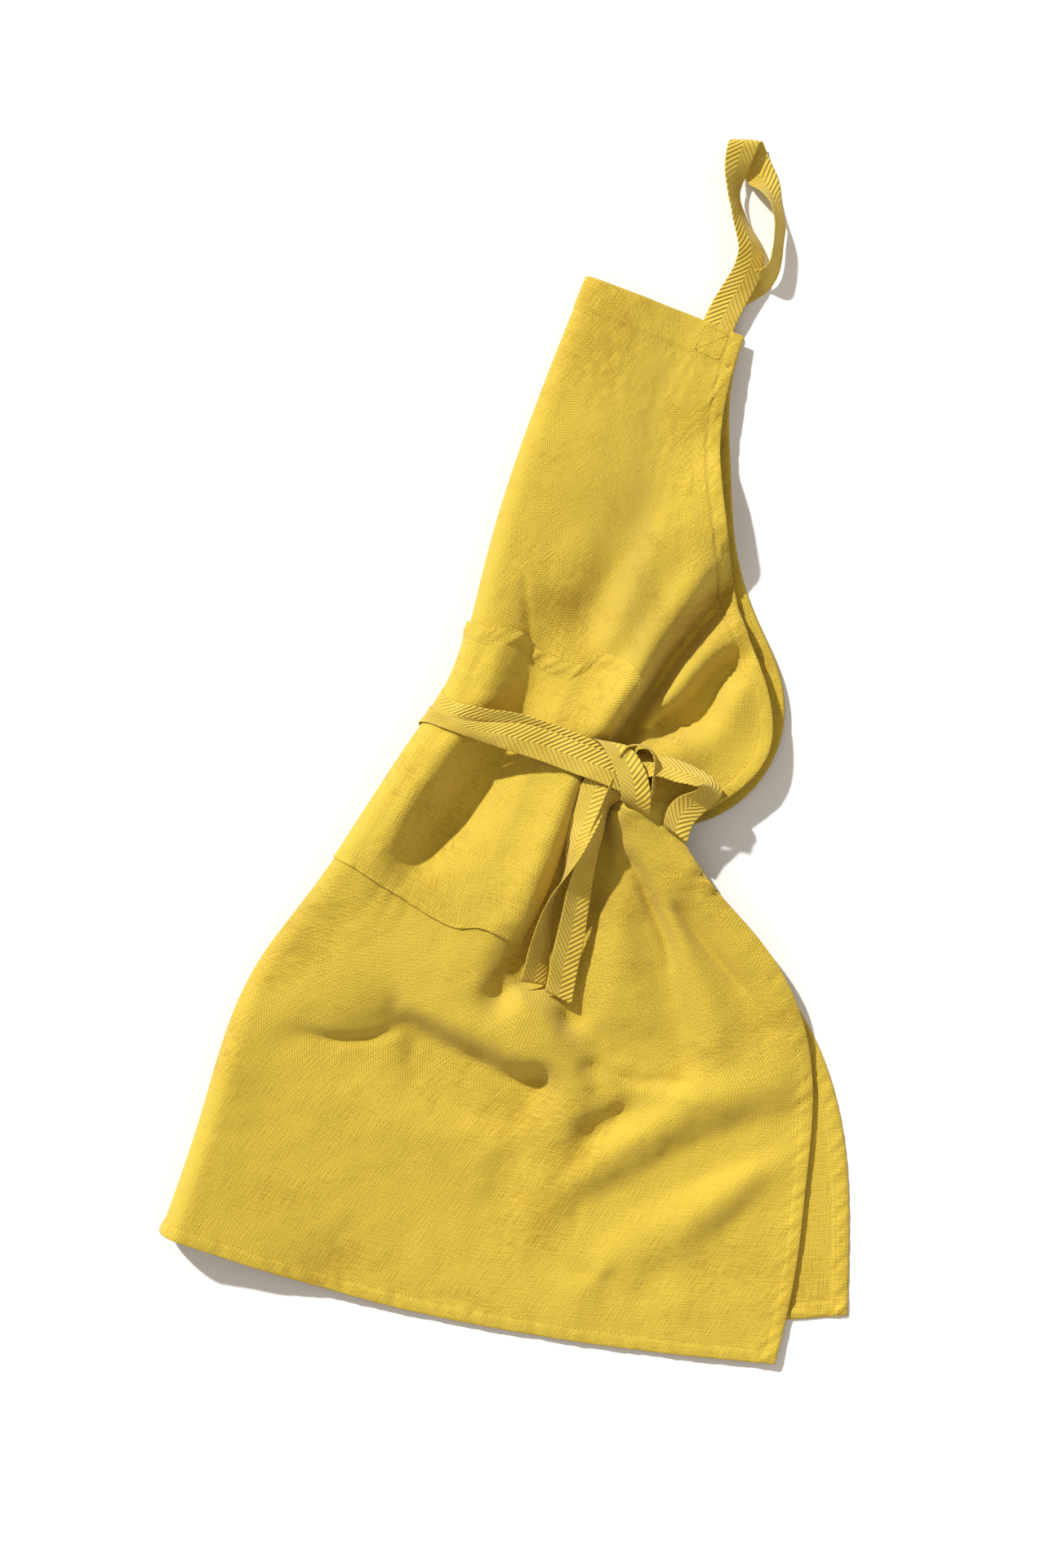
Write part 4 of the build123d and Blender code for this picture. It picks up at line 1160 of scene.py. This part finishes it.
def stitch_piece(name, seams, settings):
    """Rows of short rounded stitches; each seam is a path on the cloth and the cloth's normals along it."""
    around, rings = 6, 5
    turn = np.linspace(0, math.tau, around, endpoint=False)
    vertices, faces = [], []
    base = 0
    for path, up in seams:
        seat, heading, lift = stitch_seats(path, up)
        seat[:, 2] = np.maximum(seat[:, 2], STITCH_LEAST_HEIGHT)
        side = np.cross(heading, lift)
        for c, h, n, s in zip(seat, heading, lift, side):
            for ring in range(rings):
                k = -1 + 2 * ring / (rings - 1)
                radius = 0.5 * THREAD * math.sqrt(max(0.12, 1 - k**4))
                arch = STITCH_ARCH * (1 - k * k) * THREAD
                centre = c + h * (0.5 * STITCH_LENGTH * k) + n * (arch + STITCH_OFF_CLOTH)
                vertices.extend(centre + radius * (math.cos(a) * s + math.sin(a) * n) for a in turn)
            for ring in range(rings - 1):
                low = base + ring * around
                for i in range(around):
                    j = (i + 1) % around
                    faces.append((low + i, low + j, low + around + j, low + around + i))
            faces.append(tuple(base + i for i in reversed(range(around))))
            faces.append(tuple(base + (rings - 1) * around + i for i in range(around)))
            base += rings * around
    material = material_of("dyed_sewing_thread", thread_material, settings)
    piece = make_object(name, to_part(np.array(vertices)), faces, None, material)
    return piece


def grid_line(grid, rows, columns, side=1):
    """A path along one row or column of a grid, with the normals out of that side of it."""
    return grid[rows, columns], side * normals_of(grid)[rows, columns]


SEWN_LINE = 6  # the panel's row or column from its edge that the stitches follow
BIB_SEWN_AT, MOUTH_SEWN_AT = 28.8, 11.0  # distances from the bib's top and the pocket's mouth


class APRON_OT_stitches(bpy.types.Operator):
    """Sews the hems, the armholes and the pocket, and the boxed cross of the neck strap's upper end"""
    bl_idname = "apron.stitches"
    bl_label = "Stitches"

    def execute(self, context):
        thickness, tape = context.scene.apron_cloth.thickness / MM, context.scene.apron_tape
        outer, inner, _ = panel_surfaces(thickness)
        pocket, _, _ = pocket_surfaces(thickness)
        t = panel_rows()
        last = outer.shape[1] - 1
        bib_row = len(t) - 1 - int(np.argmin(np.abs(BIB_STEPS - BIB_SEWN_AT)))
        skirt = np.nonzero((t > 13 / ROW_LENGTH) & (t < EDGE_WAIST_SHARE - 0.02))[0]
        wing = np.nonzero((t > EDGE_WAIST_SHARE + 0.03) & (t < 1 - BIB_HEM / ROW_LENGTH))[0]
        mouth = len(pocket) - 1 - int(np.argmin(np.abs(MOUTH_STEPS - MOUTH_SEWN_AT)))
        pocket_edge = pocket.shape[1] - 3
        seams = {
            "stitches_bib_hem": [grid_line(outer, bib_row, slice(3, last - 2))],
            "stitches_bottom_hem": [
                grid_line(outer, SEWN_LINE, slice(3, last - 2)), grid_line(inner, SEWN_LINE, slice(3, 60), -1)],
            "stitches_side_hems": [
                grid_line(outer, skirt, last - SEWN_LINE), grid_line(outer, skirt, SEWN_LINE),
                grid_line(inner, skirt, SEWN_LINE, -1)],
            "stitches_armholes": [
                grid_line(outer, wing, last - SEWN_LINE), grid_line(outer, wing, SEWN_LINE)],
            "stitches_pocket": [
                grid_line(pocket, mouth, slice(2, pocket_edge)), grid_line(pocket, 2, slice(2, pocket_edge)),
                grid_line(pocket, slice(2, len(pocket) - 2), pocket_edge)],
            "stitches_strap_box": strap_box_paths(thickness),
        }
        for name, paths in seams.items():
            piece = stitch_piece(name + "_sewn", paths, tape)
            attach(piece, "root")
            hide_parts(name)
        return {"FINISHED"}


OVER_BIB_HEM = 0.95  # how far the hem's outer face lies over the cloth's


def strap_box_paths(cloth):
    """The boxed cross that holds the neck strap in the upper bib hem."""
    left, right = STRAP_LEFT + 2.0, STRAP_RIGHT - 2.0
    low, high = BIB_TOP - 27.0, BIB_TOP - 4.0
    corners = [(left, low), (right, low), (right, high), (left, high)]
    legs = [(corners[i], corners[(i + 1) % 4]) for i in range(4)]
    legs += [(corners[0], corners[2]), (corners[1], corners[3])]
    paths = []
    for a, b in legs:
        k = np.linspace(0, 1, 12)[:, None]
        plan = np.array(a) * (1 - k) + np.array(b) * k
        z = upper_height(plan[:, 0], plan[:, 1]) + 0.5 * cloth + OVER_BIB_HEM
        paths.append((np.column_stack([plan, z]), np.tile([0.0, 0.0, 1.0], (len(plan), 1))))
    return paths


# ---------------------------------------------------------------- stage, light and camera
TABLE_HALF_SIDE = 9.0  # metres, far beyond what the camera above sees
KEY_HEADING = (0.8836, -0.4603)  # over the table, from the upper left
KEY_COLOUR = (1.0, 1.0, 0.98)
ROOM_COLOUR = (1.0, 0.92, 0.83, 1.0)
SENSOR_WIDTH = 36.0  # millimetres, along the picture's long side


class APRON_OT_stage(bpy.types.Operator):
    """Sets the plain white table top, the light from the upper left and the camera straight above"""
    bl_idname = "apron.stage"
    bl_label = "Table, light and camera"

    def execute(self, context):
        stage = context.scene.apron_stage
        scene = context.scene
        side = TABLE_HALF_SIDE
        corners = [(-side, -side, 0), (side, -side, 0), (side, side, 0), (-side, side, 0)]
        material, tree = new_material("matt_white_board")
        grain = node(tree, "ShaderNodeTexNoise", Scale=180.0, Detail=2.0)
        bump = node(tree, "ShaderNodeBump", Strength=0.03, Distance=0.0002, Height=grain.outputs[0])
        shader = node(
            tree, "ShaderNodeBsdfPrincipled", **{
                "Base Color": linear(stage.table_colour), "Roughness": 0.9, "Normal": bump.outputs[0],
            })
        node(tree, "ShaderNodeOutputMaterial", Surface=shader.outputs[0])
        table = make_object("table_top", corners, [(0, 1, 2, 3)], None, material, smooth=False)

        sun = bpy.data.lights.new("studio_key", "SUN")
        sun.energy = stage.key_strength
        sun.angle = stage.key_softness
        sun.color = KEY_COLOUR
        lamp = bpy.data.objects.new("studio_key", sun)
        heading = Vector(KEY_HEADING) * math.cos(stage.key_elevation)
        travel = Vector((heading.x, heading.y, -math.sin(stage.key_elevation)))
        lamp.rotation_euler = travel.to_track_quat("-Z", "Y").to_euler()
        lamp.location = (-1, 0.5, 1)
        scene.collection.objects.link(lamp)

        world = bpy.data.worlds.new("white_studio")
        world.use_nodes = True
        sky = world.node_tree.nodes["Background"]
        sky.inputs["Color"].default_value = ROOM_COLOUR
        sky.inputs["Strength"].default_value = stage.fill_strength
        scene.world = world

        view = bpy.data.cameras.new("overhead_camera")
        view.lens = SENSOR_WIDTH * stage.camera_height / stage.frame_height
        view.clip_end = 20.0
        camera = bpy.data.objects.new("overhead_camera", view)
        camera.location = (stage.camera_x, stage.camera_y, stage.camera_height)
        camera.rotation_euler = Euler((0, 0, stage.camera_turn))
        scene.collection.objects.link(camera)
        scene.camera = camera
        scene.view_settings.view_transform = "Standard"
        return {"FINISHED"}


# ---------------------------------------------------------------- settings, panel, registration
class ApronClothSettings(bpy.types.PropertyGroup):
    thickness: bpy.props.FloatProperty(
        name="Cloth thickness", description="Thickness of one layer of cloth", default=0.0007,
        subtype="DISTANCE", unit="LENGTH")
    thread_pitch: bpy.props.FloatProperty(
        name="Drawn thread pitch", description="Length of one over-and-under of the weave as drawn",
        default=0.0022, subtype="DISTANCE", unit="LENGTH")
    shade_colour: bpy.props.StringProperty(
        name="Deep shade", description="sRGB hex of the deeper dyed patches", default="#C0A030")
    light_colour: bpy.props.StringProperty(
        name="Light shade", description="sRGB hex of the washed-out threads", default="#D4B73E")


class ApronTapeSettings(bpy.types.PropertyGroup):
    rib_pitch: bpy.props.FloatProperty(
        name="Herringbone pitch", description="Distance between two ribs along the tape", default=0.0046,
        subtype="DISTANCE", unit="LENGTH")
    thickness: bpy.props.FloatProperty(
        name="Tape thickness", description="Thickness of the woven tape", default=0.0009,
        subtype="DISTANCE", unit="LENGTH")
    # Between the ribs this deep shade is partly painted shade, and on the ribs the light shade is partly
    # painted light; the rest is uneven dye.
    shade_colour: bpy.props.StringProperty(
        name="Deep shade", description="sRGB hex between the ribs", default="#C2A436")
    light_colour: bpy.props.StringProperty(
        name="Light shade", description="sRGB hex of the ribs", default="#E0C455")


class ApronStageSettings(bpy.types.PropertyGroup):
    table_colour: bpy.props.StringProperty(
        name="Table", description="sRGB hex of the table top", default="#EFEFEF")
    key_strength: bpy.props.FloatProperty(
        name="Key light", description="Strength of the key light", default=4.1)
    key_softness: bpy.props.FloatProperty(
        name="Key softness", description="Angle the key light fills",
        default=math.radians(2.0), subtype="ANGLE")
    key_elevation: bpy.props.FloatProperty(
        name="Key elevation", description="Angle of the key light above the table",
        default=math.radians(37.0), subtype="ANGLE")
    fill_strength: bpy.props.FloatProperty(
        name="Fill light", description="Strength of the white room", default=0.54)
    camera_height: bpy.props.FloatProperty(
        name="Camera height", description="Height of the camera above the table", default=2.5,
        subtype="DISTANCE", unit="LENGTH")
    frame_height: bpy.props.FloatProperty(
        name="Frame height", description="Length of table that the picture's long side covers", default=1.28,
        subtype="DISTANCE", unit="LENGTH")
    camera_x: bpy.props.FloatProperty(
        name="Camera X", description="Camera position across the part", default=-0.1394,
        subtype="DISTANCE", unit="LENGTH")
    camera_y: bpy.props.FloatProperty(
        name="Camera Y", description="Camera position along the part", default=-0.0526,
        subtype="DISTANCE", unit="LENGTH")
    camera_turn: bpy.props.FloatProperty(
        name="Camera turn", description="Turn of the picture about the vertical", default=math.radians(24.0),
        subtype="ANGLE")


class APRON_PT_sidebar(bpy.types.Panel):
    """Lists the apron's settings and the pieces that can be built"""
    bl_idname = "APRON_PT_sidebar"
    bl_label = "Bib apron"
    bl_space_type = "VIEW_3D"
    bl_region_type = "UI"
    bl_category = "Apron"

    def draw(self, context):
        for group in (context.scene.apron_cloth, context.scene.apron_tape, context.scene.apron_stage):
            box = self.layout.box()
            for key in group.__annotations__:
                box.prop(group, key)
        for operator in OPERATORS:
            self.layout.operator(operator.bl_idname)


OPERATORS = [
    APRON_OT_stage, APRON_OT_waist_ties, APRON_OT_body, APRON_OT_pocket, APRON_OT_facings, APRON_OT_neck_strap,
    APRON_OT_knot, APRON_OT_tails, APRON_OT_stitches,
]
CLASSES = [ApronClothSettings, ApronTapeSettings, ApronStageSettings, *OPERATORS, APRON_PT_sidebar]


def register():
    for item in CLASSES:
        bpy.utils.register_class(item)
    bpy.types.Scene.apron_cloth = bpy.props.PointerProperty(type=ApronClothSettings)
    bpy.types.Scene.apron_tape = bpy.props.PointerProperty(type=ApronTapeSettings)
    bpy.types.Scene.apron_stage = bpy.props.PointerProperty(type=ApronStageSettings)


def unregister():
    del bpy.types.Scene.apron_stage
    del bpy.types.Scene.apron_tape
    del bpy.types.Scene.apron_cloth
    for item in reversed(CLASSES):
        bpy.utils.unregister_class(item)


def main():
    register()
    for operator in OPERATORS:
        group, name = operator.bl_idname.split(".")
        getattr(getattr(bpy.ops, group), name)()


if __name__ == "__main__":
    main()
